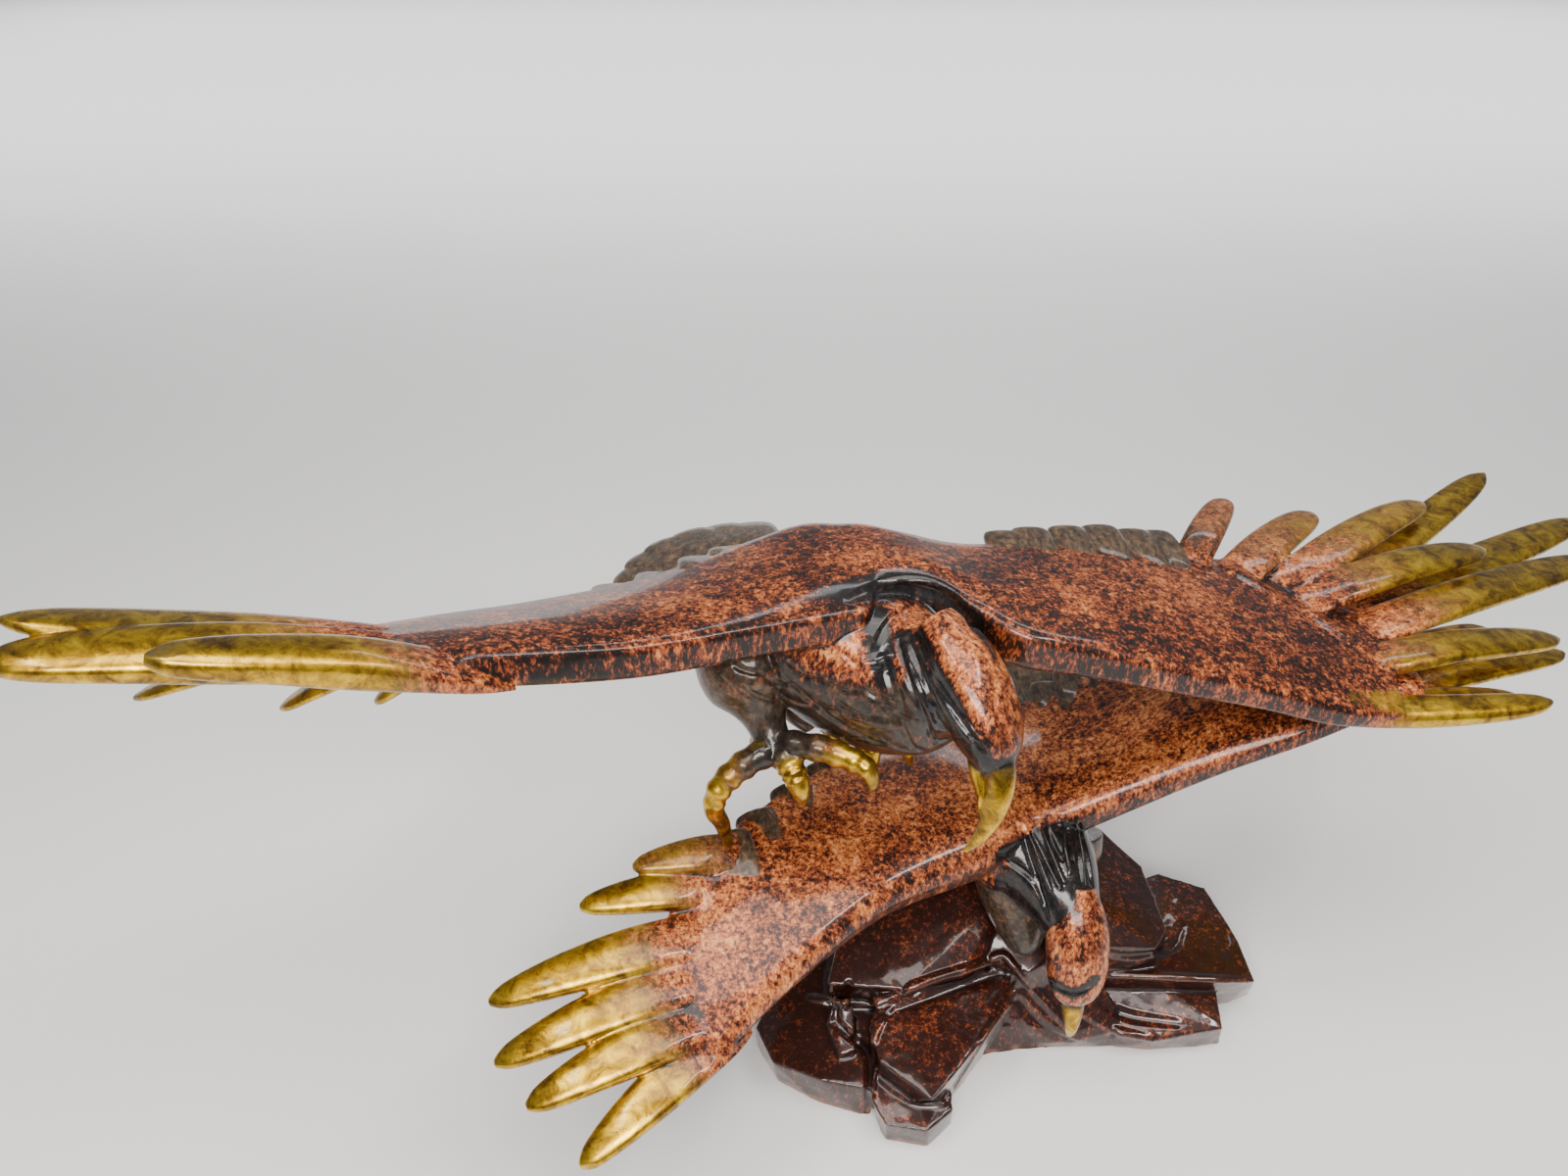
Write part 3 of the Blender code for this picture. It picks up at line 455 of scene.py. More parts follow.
UPPER_LEFT_FINGERS = [
    (150, -31, 283, 298, -24, 279, 23),
    (164, -6, 288, 333, 34, 283, 28),
    (170, 16, 292, 400, 116, 291, 32),
    (166, 34, 292, 420, 168, 292, 33),
    (156, 44, 297, 318, 109, 303, 31),
    (180, 56, 291, 374, 219, 303, 28),
    (150, 56, 296, 302, 166, 307, 30),
    (122, 60, 300, 222, 158, 303, 30),
    (100, 62, 304, 157, 154, 316, 24),
]
UPPER_LEFT_BLADES = [
    (0.0145, -0.035), (0.0120, 0.03), (0.0110, 0.01), (0.0110, -0.01), (0.0105, 0.04),
    (0.0105, -0.02), (0.0105, 0.04), (0.0105, 0.03), (0.0105, 0.05),
]
LOWER_HEAD = (0.0350, -0.0640, 0.1080)
LOWER_BODY = [
    (-2, 106, 172, 20, 9),
    (0, 88, 168, 32, 16),
    (3, 58, 160, 42, 26),
    (6, 26, 150, 47, 34),
    (12, -2, 143, 44, 34),
    (22, -22, 138, 34, 29),
    (29, -40, 130, 25, 25),
    (34, -54, 119, 19, 20),
    (35, -62, 110, 12, 12),
]
LOWER_WINGS = [
    (-204, -170, 119, -222, -90, 163, 12),
    (-180, -148, 129, -206, -60, 172, 18),
    (-148, -118, 140, -178, -26, 182, 23),
    (-90, -72, 153, -122, 24, 184, 28),
    (-26, -40, 153, -50, 66, 186, 33),
    (16, -18, 157, 6, 86, 184, 32),
    (56, -11, 175, 50, 100, 192, 26),
    (122, -9, 213, 116, 110, 222, 22),
    (168, -13, 241, 172, 98, 242, 18),
    (204, -18, 270, 212, 70, 260, 18),
    (230, -14, 274, 240, 40, 266, 13),
]
LOWER_RIGHT_FINGERS = [
    (-174, -132, 136, -258, -206, 110, 28),
    (-178, -128, 144, -289, -183, 128, 29),
    (-180, -108, 155, -310, -161, 134, 29),
    (-180, -88, 163, -317, -133, 150, 29),
    (-176, -62, 170, -271, -83, 172, 25),
    (-160, -40, 177, -241, -63, 184, 24),
]
LOWER_LEFT_FINGERS = [
    (190, -10, 263, 300, 0, 262, 24),
    (190, 4, 259, 352, 48, 262, 27),
    (186, 22, 255, 318, 78, 260, 27),
    (178, 42, 250, 304, 114, 258, 27),
    (166, 56, 245, 280, 148, 254, 27),
    (148, 66, 238, 236, 158, 248, 26),
]
UPPER_SIDE = (0.80, 0.60, 0.0)
UPPER_NEAR_LEG = [
    (-0.174, 0.004, 0.298, 0.0310, 0.0310),
    (-0.170, -0.006, 0.288, 0.0310, 0.0300),
    (-0.166, -0.014, 0.2785, 0.0265, 0.0260),
    (-0.163, -0.021, 0.271, 0.0165, 0.0165),
    (-0.160, -0.027, 0.264, 0.0118, 0.0118),
    (-0.156, -0.034, 0.256, 0.0110, 0.0110),
]
UPPER_NEAR_TOES = [
    [
        (-0.154, -0.036, 0.256, 0.0092),
        (-0.172, -0.046, 0.2515, 0.0085),
        (-0.186, -0.053, 0.241, 0.0076),
        (-0.191, -0.056, 0.226, 0.0063),
        (-0.187, -0.050, 0.207, 0.0049),
        (-0.184, -0.046, 0.184, 0.0032),
    ],
    [
        (-0.154, -0.036, 0.256, 0.0088),
        (-0.146, -0.050, 0.252, 0.0081),
        (-0.141, -0.058, 0.243, 0.0063),
        (-0.140, -0.058, 0.230, 0.0024),
    ],
    [
        (-0.154, -0.036, 0.258, 0.0088),
        (-0.128, -0.048, 0.264, 0.0078),
        (-0.106, -0.058, 0.261, 0.0068),
        (-0.100, -0.062, 0.252, 0.0044),
        (-0.101, -0.062, 0.244, 0.0015),
    ],
    [
        (-0.154, -0.034, 0.256, 0.0083),
        (-0.162, -0.022, 0.250, 0.0068),
        (-0.166, -0.018, 0.240, 0.0051),
        (-0.164, -0.020, 0.230, 0.0015),
    ],
]
UPPER_FAR_LEG = [
    (-0.128, 0.024, 0.290, 0.0270, 0.0260),
    (-0.134, 0.016, 0.277, 0.0235, 0.0235),
    (-0.137, 0.010, 0.267, 0.0175, 0.0175),
    (-0.141, 0.005, 0.257, 0.0140, 0.0140),
    (-0.130, 0.001, 0.245, 0.0110, 0.0110),
]
UPPER_FAR_TOES = [
    [
        (-0.122, 0.002, 0.243, 0.0083),
        (-0.100, -0.014, 0.242, 0.0071),
        (-0.097, -0.022, 0.234, 0.0053),
        (-0.096, -0.022, 0.220, 0.0015),
    ],
    [
        (-0.122, 0.002, 0.243, 0.0083),
        (-0.086, -0.008, 0.242, 0.0068),
        (-0.076, -0.014, 0.236, 0.0050),
        (-0.072, -0.014, 0.222, 0.0015),
    ],
    [
        (-0.122, 0.002, 0.243, 0.0083),
        (-0.118, -0.002, 0.240, 0.0066),
        (-0.124, -0.008, 0.230, 0.0047),
        (-0.122, -0.008, 0.220, 0.0015),
    ],
    [
        (-0.122, 0.002, 0.243, 0.0078),
        (-0.106, 0.020, 0.238, 0.0064),
        (-0.106, 0.026, 0.230, 0.0045),
        (-0.105, 0.024, 0.220, 0.0015),
    ],
]
LOWER_NEAR_LEG = [
    (-0.001, -0.004, 0.140, 0.0260, 0.0260),
    (0.002, -0.016, 0.119, 0.0240, 0.0240),
    (0.007, -0.026, 0.099, 0.0190, 0.0190),
    (0.010, -0.032, 0.085, 0.0140, 0.0140),
    (0.011, -0.035, 0.074, 0.0060, 0.0060),
]
LOWER_FAR_LEG = [
    (0.038, 0.010, 0.140, 0.0260, 0.0260),
    (0.039, 0.003, 0.126, 0.0245, 0.0245),
    (0.041, -0.002, 0.115, 0.0175, 0.0175),
    (0.042, -0.006, 0.107, 0.0130, 0.0130),
    (0.044, -0.012, 0.094, 0.0110, 0.0110),
]
LOWER_FAR_TOES = [
    [
        (0.044, -0.012, 0.094, 0.0080),
        (0.040, -0.026, 0.090, 0.0066),
        (0.038, -0.034, 0.078, 0.0050),
    ],
    [
        (0.044, -0.012, 0.094, 0.0080),
        (0.052, -0.024, 0.090, 0.0066),
        (0.055, -0.032, 0.080, 0.0050),
    ],
]
ROCK_BLOCKS = [
    # core under all the others
    [
        (-110, -50, 30), (-86, -66, 24), (-50, -56, 24), (-30, -50, 30), (60, -46, 14), (130, -40, 20),
        (140, 40, 30), (-70, 60, 50), (-112, -56, -10), (-88, -70, -10), (-50, -60, -10),
        (-30, -56, -10), (60, -48, -10), (140, -44, -10), (150, 50, -10), (-80, 70, -10),
    ],
    # left lobe
    [
        (-169, -62, 30), (-150, -26, 44), (-100, -4, 52), (-82, -35, 44), (-92, -108, 30),
        (-126, -101, 30), (-157, -87, 28), (-166, -30, -10), (-168, -52, -10), (-153, -79, -10),
        (-124, -97, -10), (-94, -106, -10), (-80, 10, -10), (-140, 10, -10), (-130, 12, 40),
    ],
    # low front block
    [
        (-94, -78, 32), (-44, -80, 32), (-43, -118, 24), (-60, -131, 22), (-86, -127, 22),
        (-96, -108, 26), (-40, -110, -10), (-58, -126, -10), (-84, -122, -10), (-92, -80, -10),
        (-45, -70, -10),
    ],
    # front slab
    [
        (-84, -50, 58), (4, -34, 58), (2, -60, 52), (-36, -100, 49), (-58, -126, 46), (-89, -100, 48),
        (-95, -78, 52), (-80, -50, -10), (0, -40, -10), (-36, -88, -10), (-60, -104, 12),
        (-84, -90, -10),
    ],
    # rising back
    [
        (-121, -50, 60), (-70, -56, 62), (-32, -46, 64), (-6, -30, 66), (12, 6, 98), (-50, 24, 100),
        (-108, -10, 82), (-120, -44, -10), (10, -30, -10), (20, 90, -10), (-90, 94, -10),
        (-124, 30, -10), (10, 66, 94), (-60, 66, 86),
    ],
    # middle crest
    [
        (-10, -34, 66), (14, -44, 64), (30, -36, 72), (60, -30, 72), (60, 50, 98), (0, 60, 100),
        (-20, 0, 90), (-10, -36, -10), (60, -34, -10), (70, 80, -10), (-30, 80, -10), (34, 10, 92),
    ],
    # middle foot
    [
        (0, -44, 44), (40, -40, 48), (70, -36, 40), (84, -56, 20), (50, -60, 14), (16, -56, 24),
        (-14, -50, 30), (86, -52, -10), (50, -52, -10), (-14, -50, -10), (0, -30, -10), (70, -30, -10),
    ],
    # right boulder
    [
        (40, -30, 80), (66, -34, 78), (102, -30, 72), (114, -14, 72), (108, 36, 80), (82, 62, 92),
        (46, 50, 100), (50, 0, 98), (36, -34, -10), (116, -20, -10), (116, 70, -10), (40, 80, -10),
    ],
    # right block
    [
        (60, -34, 48), (104, -37, 50), (146, -40, 49), (172, -37, 46), (170, -6, 50), (160, 40, 54),
        (128, 50, 58), (80, 30, 60), (62, -32, 30), (148, -34, 30), (176, -30, 32), (190, -6, -10),
        (168, -16, -10), (174, 48, -10), (120, 70, -10), (70, 30, -10), (70, -20, -10),
    ],
    # low right block
    [
        (56, -32, 34), (110, -30, 36), (150, -30, 33), (147, -60, 26), (100, -64, 18), (78, -60, 20),
        (154, -50, -10), (101, -54, -10), (70, -51, -10), (150, -20, -10), (60, -20, -10),
    ],
    # knob beside the slab
    [
        (-116, -56, 58), (-104, -62, 52), (-104, -86, 40), (-114, -88, 36), (-122, -70, 44),
        (-116, -50, 20), (-100, -60, 20), (-106, -86, 20),
    ],
    # hidden rear
    [
        (-60, 60, 70), (40, 70, 80), (90, 66, 60), (100, 92, 30), (20, 102, 40), (-70, 90, 40),
        (104, 96, -10), (10, 108, -10), (-80, 98, -10), (-60, 40, -10), (90, 40, -10),
    ],
]


def wing_fingers(rows, thick, up, golds, bow=0.05, shape=FEATHER_WIDE, sink=0.006):
    """Long feathers. Each row is a root, a tip and a width, and golds says how gold each is."""
    forms = []
    for row, gold in zip(metres(rows), golds):
        tone = finger_tone(gold)
        forms.append(feather(row[:3], row[3:6], row[6], thick, up, bow, shape, tone, sink))
    return forms


def leg_tone(s, u):
    return (0.0, 0.42 + 0.25 * float(rise(s, 0.3, 0.9)), 0.55)


def leg_forms(rows, toes, side):
    """A feathered thigh and bare shank along a path, and the toes that curl from the foot."""
    forms = [limb(rows, side, leg_tone, steps=36, around=30)]
    for toe in toes:
        forms.append(talon(toe, side))
    return forms


def upper_body_tone(s, u):
    under = 1 - float(rise(u, 0.15, 0.60))
    return (0.0, 0.52 * under + 0.5 * float(rise(s, 0.72, 0.9)), 0.45 * under)


def lower_body_tone(s, u):
    return (0.0, float(rise(s, 0.52, 0.66)), 0.0)


UPPER_RIGHT_GOLD = [1.0, 0.9, 0.6, 0.35]
UPPER_LEFT_GOLD = [1.0, 1.0, 1.0, 1.0, 0.85, 1.0, 0.55, 0.35, 0.12]
LOWER_RIGHT_GOLD = [1.0, 1.0, 1.0, 1.0, 0.85, 0.45]
LOWER_LEFT_GOLD = [1.0, 1.0, 1.0, 1.0, 1.0, 0.8]


def upper_eagle_forms():
    up = (0.0, 0.0, 1.0)
    lean = unit((-0.04, 0.55, 0.88))
    forms = [limb(metres(UPPER_BODY), UPPER_SIDE, upper_body_tone, steps=60, around=48)]
    forms += head_forms(UPPER_HEAD, (0.42, -0.71, -0.55), (0.75, -0.32, 0.57), 0.045, 0.95)
    forms.append(wing(metres(UPPER_WINGS), CRESTED_SECTION, 0.20))
    leans = [(0.15, 0.10, 0.95), (0.10, -0.12, 0.98), (0.15, 0.22, 0.95)]
    outer = zip(UPPER_RIGHT_FINGERS[:3], leans, (0.0215, 0.0200, 0.0150), (0.03, 0.03, 0.0))
    for row, lean_out, thick, bow in outer:
        forms += wing_fingers([row], thick, lean_out, [1.0], bow, FEATHER_WIDE, 0.0)
    inner = UPPER_RIGHT_FINGERS[3:]
    forms += wing_fingers(inner, 0.0115, (0.05, 0.30, 0.95), UPPER_RIGHT_GOLD)
    for row, (thick, bow), gold in zip(UPPER_LEFT_FINGERS, UPPER_LEFT_BLADES, UPPER_LEFT_GOLD):
        forms += wing_fingers([row], thick, up, [gold], bow)
    edge = [(-0.010, 0.094, 0.3255), (0.045, 0.108, 0.3215), (0.094, 0.113, 0.3140)]
    forms += edge_row(edge, 6, (0.02, -1.0, 0.02), 0.050, 0.0260, 0.0085, up)
    edge = [(-0.185, 0.068, 0.3285), (-0.240, 0.040, 0.3225), (-0.298, 0.008, 0.3215)]
    forms += edge_row(edge, 6, (0.15, -0.90, 0.16), 0.050, 0.0290, 0.0085, lean, 0.20)
    root = (-0.168, 0.054, 0.318)
    back = (-0.62, 0.76, -0.17)
    forms += tail_fan(root, back, (0.77, 0.63, 0.0), up, 0.098, 0.50, 6, 0.034, 0.0085)
    forms += leg_forms(UPPER_NEAR_LEG, UPPER_NEAR_TOES, UPPER_SIDE)
    forms += leg_forms(UPPER_FAR_LEG, UPPER_FAR_TOES, UPPER_SIDE)
    return forms


def lower_eagle_forms():
    up = (0.0, 0.0, 1.0)
    lean = unit((-0.10, -0.35, 0.90))
    side = (1.0, 0.0, 0.0)
    forms = [limb(metres(LOWER_BODY), side, lower_body_tone, steps=60, around=48)]
    forms += head_forms(LOWER_HEAD, (0.0, -0.50, -0.87), (0.0, -0.87, 0.50), 0.040, 0.15)
    forms.append(wing(metres(LOWER_WINGS), ROLLED_SECTION, 0.0))
    forms += wing_fingers(LOWER_RIGHT_FINGERS, 0.0140, lean, LOWER_RIGHT_GOLD, 0.05, LEAF_WIDE)
    forms += wing_fingers(LOWER_LEFT_FINGERS, 0.0095, up, LOWER_LEFT_GOLD, 0.02)
    edge = [(-0.128, 0.030, 0.1850), (-0.160, -0.004, 0.1850), (-0.186, -0.032, 0.1820)]
    forms += edge_row(edge, 4, (0.30, -0.90, -0.30), 0.045, 0.0280, 0.0095, lean)
    edge = [(0.040, 0.112, 0.1890), (0.090, 0.124, 0.2080), (0.144, 0.128, 0.2290)]
    forms += edge_row(edge, 6, (0.0, -1.0, -0.05), 0.050, 0.0280, 0.0085, up)
    root = (0.000, 0.084, 0.172)
    back = (-0.04, 1.0, 0.03)
    forms += tail_fan(root, back, (1.0, 0.04, 0.0), up, 0.112, 0.45, 6, 0.036, 0.0085)
    forms += leg_forms(LOWER_NEAR_LEG, [], side)
    forms += leg_forms(LOWER_FAR_LEG, LOWER_FAR_TOES, side)
    return forms


def hull(points):
    """The closed facets round a set of points."""
    bm = bmesh.new()
    for point in metres(points):
        bm.verts.new(point * ROCK_SCALE)
    made = bmesh.ops.convex_hull(bm, input=bm.verts)
    inner = made["geom_interior"] + made["geom_unused"]
    spare = list({v for v in inner if isinstance(v, bmesh.types.BMVert)})
    bmesh.ops.delete(bm, geom=spare, context="VERTS")
    bmesh.ops.recalc_face_normals(bm, faces=bm.faces)
    bm.verts.index_update()
    verts = [tuple(v.co) for v in bm.verts]
    faces = [tuple(v.index for v in f.verts) for f in bm.faces]
    bm.free()
    return verts, faces, np.zeros((len(verts), 3))


# From forms to castings

# How far a casting stays inside its box, and the length below which an edge is a sliver
BOX_MARGIN = 0.00005
SLIVER = 0.00002
# Rounds of evening: the skin that roots melt into, the tones, the skin that hollows are read
# from, and the hollows themselves
MELT_ROUNDS = 110
TONE_ROUNDS = 3
SKIN_ROUNDS = 24
HOLLOW_ROUNDS = 2
# How far below or above the evened skin a point starts to count, and where it counts in full
HOLLOW_DEPTH = (0.00012, 0.0010)
PROUD_HEIGHT = (0.0006, 0.0024)
# How dark the painted shade in a hollow gets, and how much of its gold that painted shade takes
HOLLOW_SHADE_DARK = 0.9
HOLLOW_SHADE_GOLD_LOSS = 0.8


def joined(forms, name):
    """One mesh that holds every form, each facing out, with the tones of its points."""
    verts = []
    faces = []
    tones = []
    start = 0
    for form_verts, form_faces, form_tones in forms:
        verts.append(np.asarray(form_verts, float))
        tones.append(np.asarray(form_tones, float))
        faces += [tuple(start + i for i in face) for face in form_faces]
        start += len(form_verts)
    verts = np.vstack(verts)
    mesh = bpy.data.meshes.new(name)
    mesh.from_pydata(verts.tolist(), [], faces)
    bm = bmesh.new()
    bm.from_mesh(mesh)
    bmesh.ops.recalc_face_normals(bm, faces=bm.faces)
    bm.to_mesh(mesh)
    bm.free()
    return mesh, verts, faces, np.vstack(tones)


def with_modifiers(mesh, name, steps):
    """The mesh after a list of modifiers, each a kind and its settings."""
    obj = bpy.data.objects.new(name, mesh)
    bpy.context.scene.collection.objects.link(obj)
    for kind, settings in steps:
        modifier = obj.modifiers.new(kind, kind)
        for key, value in settings.items():
            setattr(modifier, key, value)
    graph = bpy.context.evaluated_depsgraph_get()
    graph.update()
    out = bpy.data.meshes.new_from_object(obj.evaluated_get(graph), depsgraph=graph).copy()
    bpy.data.objects.remove(obj)
    return out


def one_skin(mesh):
    """Keep a mesh's largest connected skin alone, with no slivers folded flat."""
    bm = bmesh.new()
    bm.from_mesh(mesh)
    bmesh.ops.dissolve_degenerate(bm, dist=SLIVER, edges=bm.edges)
    bmesh.ops.triangulate(bm, faces=bm.faces)
    skins = []
    for start in bm.verts:
        if start.tag:
            continue
        start.tag = True
        skin_verts = [start]
        for vert in skin_verts:
            for edge in vert.link_edges:
                other = edge.other_vert(vert)
                if not other.tag:
                    other.tag = True
                    skin_verts.append(other)
        skins.append(skin_verts)
    skins.sort(key=len)
    for small in skins[:-1]:
        bmesh.ops.delete(bm, geom=small, context="VERTS")
    bm.to_mesh(mesh)
    bm.free()


def coordinates(mesh):
    co = np.zeros(len(mesh.vertices) * 3, np.float32)
    mesh.vertices.foreach_get("co", co)
    return co.reshape(-1, 3).astype(float)


def normals(mesh):
    no = np.zeros(len(mesh.vertices) * 3, np.float32)
    mesh.vertex_normals.foreach_get("vector", no)
    return no.reshape(-1, 3).astype(float)


def move_to(mesh, co):
    mesh.vertices.foreach_set("co", co.astype(np.float32).ravel())
    mesh.update()


def seen_from_eye(tree, px, py):
    """Where the eye's line through a place of its picture first meets a surface."""
    focal = PICTURE_WIDE * LENS / SENSOR
    forward = np.array([0.0, math.sin(EYE_TILT), -math.cos(EYE_TILT)])
    upward = np.array([0.0, math.cos(EYE_TILT), math.sin(EYE_TILT)])
    aside = np.array([px - PICTURE_WIDE / 2, 0, 0])
    way = forward * focal + aside - upward * (py - PICTURE_HIGH / 2)
    hit = tree.ray_cast(Vector(EYE), Vector(unit(way)))[0]
    return None if hit is None else np.array(hit)


def traced(tree, rows, count):
    """A stroke along a surface. Each row is a place in the eye's picture and two more numbers."""
    out = []
    for px, py, width, value in smooth_rows(rows, count):
        place = seen_from_eye(tree, px, py)
        if place is not None:
            out.append((*place, width * MM, value))
    return np.array(out)


def beside(points, path):
    """Each point's distance to a path, with the path's width and value at the nearest place."""
    best = np.full(len(points), 1e9)
    extra = np.zeros((len(points), 2))
    for a, b in zip(path[:-1], path[1:]):
        way = b[:3] - a[:3]
        t = np.clip((points - a[:3]) @ way / max(way @ way, 1e-12), 0, 1)
        distance = np.linalg.norm(points - a[:3] - t[:, None] * way, axis=1)
        nearer = distance < best
        best[nearer] = distance[nearer]
        extra[nearer] = (a[3:] + (b[3:] - a[3:]) * t[:, None])[nearer]
    return best, extra


def along(co, paths):
    """For each path: the points near it, their distances in widths, and the path's value there."""
    for path in paths:
        if len(path) < 2:
            continue
        reach = path[:, 3].max()
        low = path[:, :3].min(axis=0) - reach
        high = path[:, :3].max(axis=0) + reach
        index = np.nonzero(((co > low) & (co < high)).all(axis=1))[0]
        distance, extra = beside(co[index], path)
        yield index, distance / extra[:, 0].clip(1e-6), extra[:, 1]


def pressed(co, no, paths):
    """Grooves, or ridges where the depth is below zero, pressed along paths."""
    for index, away, depth in along(co, paths):
        fall = np.clip(1 - away**2, 0, 1) ** 2
        co[index] -= no[index] * (fall * depth * MM)[:, None]


def melted(co, no, edges, paths):
    """Creases along paths, drawn into the skin beside them where it faces the eye."""
    facing = rise((no * unit(np.array(EYE) - co.mean(axis=0))).sum(axis=1), 0.10, 0.40)
    for index, away, share in along(co, paths):
        spot = np.full(len(co), -1)
        spot[index] = np.arange(len(index))
        inner = spot[edges]
        calm = evened(co[index], inner[(inner >= 0).all(axis=1)], MELT_ROUNDS)
        cover = facing[index] * share * (1 - rise(away, 0.35, 1.0))
        co[index] += (calm - co[index]) * cover[:, None]


def edge_ends(mesh):
    ends = np.zeros(len(mesh.edges) * 2, np.int32)
    mesh.edges.foreach_get("vertices", ends)
    return ends.reshape(-1, 2)


def painted(tone, channel, co, paths):
    """Tone laid over the skin along paths, soft at its rims."""
    for index, away, strength in along(co, paths):
        was = tone[index, channel]
        tone[index, channel] = was + (strength - was) * (1 - rise(away, 0.25, 1.0))


def evened(values, edges, times):
    """Values at points, each drawn towards its neighbours' mean a number of times."""
    share = np.bincount(edges.ravel(), minlength=len(values)).clip(1)[:, None]
    for step in range(times):
        total = np.zeros_like(values)
        for channel in range(values.shape[1]):
            for a, b in ((0, 1), (1, 0)):
                gain = np.bincount(edges[:, a], values[edges[:, b], channel], len(values))
                total[:, channel] += gain
        values = 0.5 * values + 0.5 * total / share
    return values


def casting(forms, name, voxel, smooth, facets, melts, strokes, paints, texture=None):
    """One fused, carved and toned skin over a set of forms.

    melts and strokes are rows and a count, and paints have a tone's number before them.
    """
    mesh, verts, faces, tones = joined(forms, name)
    tree = BVHTree.FromPolygons(verts.tolist(), faces)
    fusing = [
        ("REMESH", {"mode": "VOXEL", "voxel_size": voxel}),
        ("SMOOTH", {"factor": 0.5, "iterations": smooth}),
    ]
    fused = with_modifiers(mesh, name, fusing)
    co = coordinates(fused)
    no = normals(fused)
    melted(co, no, edge_ends(fused), [traced(tree, rows, count) for rows, count in melts])
    pressed(co, no, [traced(tree, rows, count) for rows, count in strokes])
    if texture is not None:
        co += no * texture(co)[:, None]
    low, high = (np.array(corner) for corner in cad_box)
    move_to(fused, np.clip(co, low + BOX_MARGIN, high - BOX_MARGIN))
    fused.calc_loop_triangles()
    ratio = min(1.0, facets / len(fused.loop_triangles))
    thinning = [("DECIMATE", {"ratio": ratio, "use_collapse_triangulate": True})]
    thin = with_modifiers(fused, name, thinning)
    one_skin(thin)

    co = coordinates(thin)
    tone = np.zeros((len(co), 3))
    for i, place in enumerate(co):
        members = list(faces[tree.find_nearest(Vector(place))[2]])
        gaps = np.linalg.norm(verts[members] - place, axis=1) + 1e-5
        weight = 1 / gaps**2
        tone[i] = (tones[members] * weight[:, None]).sum(axis=0) / weight.sum()
    edges = edge_ends(thin)
    tone = evened(tone, edges, TONE_ROUNDS)
    sunk = ((evened(co, edges, SKIN_ROUNDS) - co) * normals(thin)).sum(axis=1)[:, None]
    sunk = evened(sunk, edges, HOLLOW_ROUNDS)[:, 0]
    # painted shade: the skin's hollows made darker and less gold
    hollow = rise(sunk, *HOLLOW_DEPTH)
    tone[:, 1] = np.maximum(tone[:, 1], HOLLOW_SHADE_DARK * hollow)
    tone[:, 0] *= 1 - HOLLOW_SHADE_GOLD_LOSS * hollow
    for channel, rows, count in paints:
        painted(tone, channel, co, [traced(tree, rows, count)])
    tone = np.column_stack([tone, rise(-sunk, *PROUD_HEIGHT)])
    for channel, word in enumerate(("gold", "dark", "grey", "proud")):
        layer = thin.attributes.new(word, "FLOAT", "POINT")
        layer.data.foreach_set("value", tone[:, channel].clip(0, 1).astype(np.float32))
    thin.polygons.foreach_set("use_smooth", np.ones(len(thin.polygons), bool))
    obj = bpy.data.objects.new(name, thin)
    bpy.context.scene.collection.objects.link(obj)
    return obj


# The finer carving: paths over the eye's picture, and the number of steps along each

# Where finger feathers grow out of a wing: place, radius in mm, and how much they melt into it
UPPER_MELTS = [
    ([(1218, 566, 14, 1.0), (1290, 603, 16, 1.0), (1345, 633, 18, 1.0), (1378, 655, 18, 1.0),
      (1405, 676, 18, 1.0), (1438, 700, 14, 0.8), (1452, 716, 10, 0.6)], 30),
    ([(1300, 560, 12, 0.9), (1330, 585, 14, 1.0), (1372, 606, 14, 1.0), (1398, 640, 12, 0.9)], 20),
    ([(352, 640, 10, 0.7), (395, 648, 14, 1.0), (440, 664, 14, 0.9), (474, 676, 10, 0.4)], 20),
]
LOWER_MELTS = [
    ([(742, 868, 10, 0.8), (730, 905, 14, 1.0), (742, 950, 20, 1.0), (738, 1000, 22, 1.0),
      (742, 1045, 20, 1.0), (756, 1085, 16, 1.0), (770, 1100, 12, 0.8)], 40),
    ([(700, 965, 14, 0.9), (690, 1010, 16, 0.9), (696, 1050, 16, 0.9), (706, 1090, 12, 0.8)], 24),
]
# Short feathers that lie along the flank
FLANK = [
    (742, 672), (772, 684), (804, 676), (836, 690), (760, 700), (792, 704), (824, 712), (856, 716),
    (840, 738), (872, 744), (806, 730), (880, 700), (900, 720), (862, 668), (900, 752), (926, 756),
]
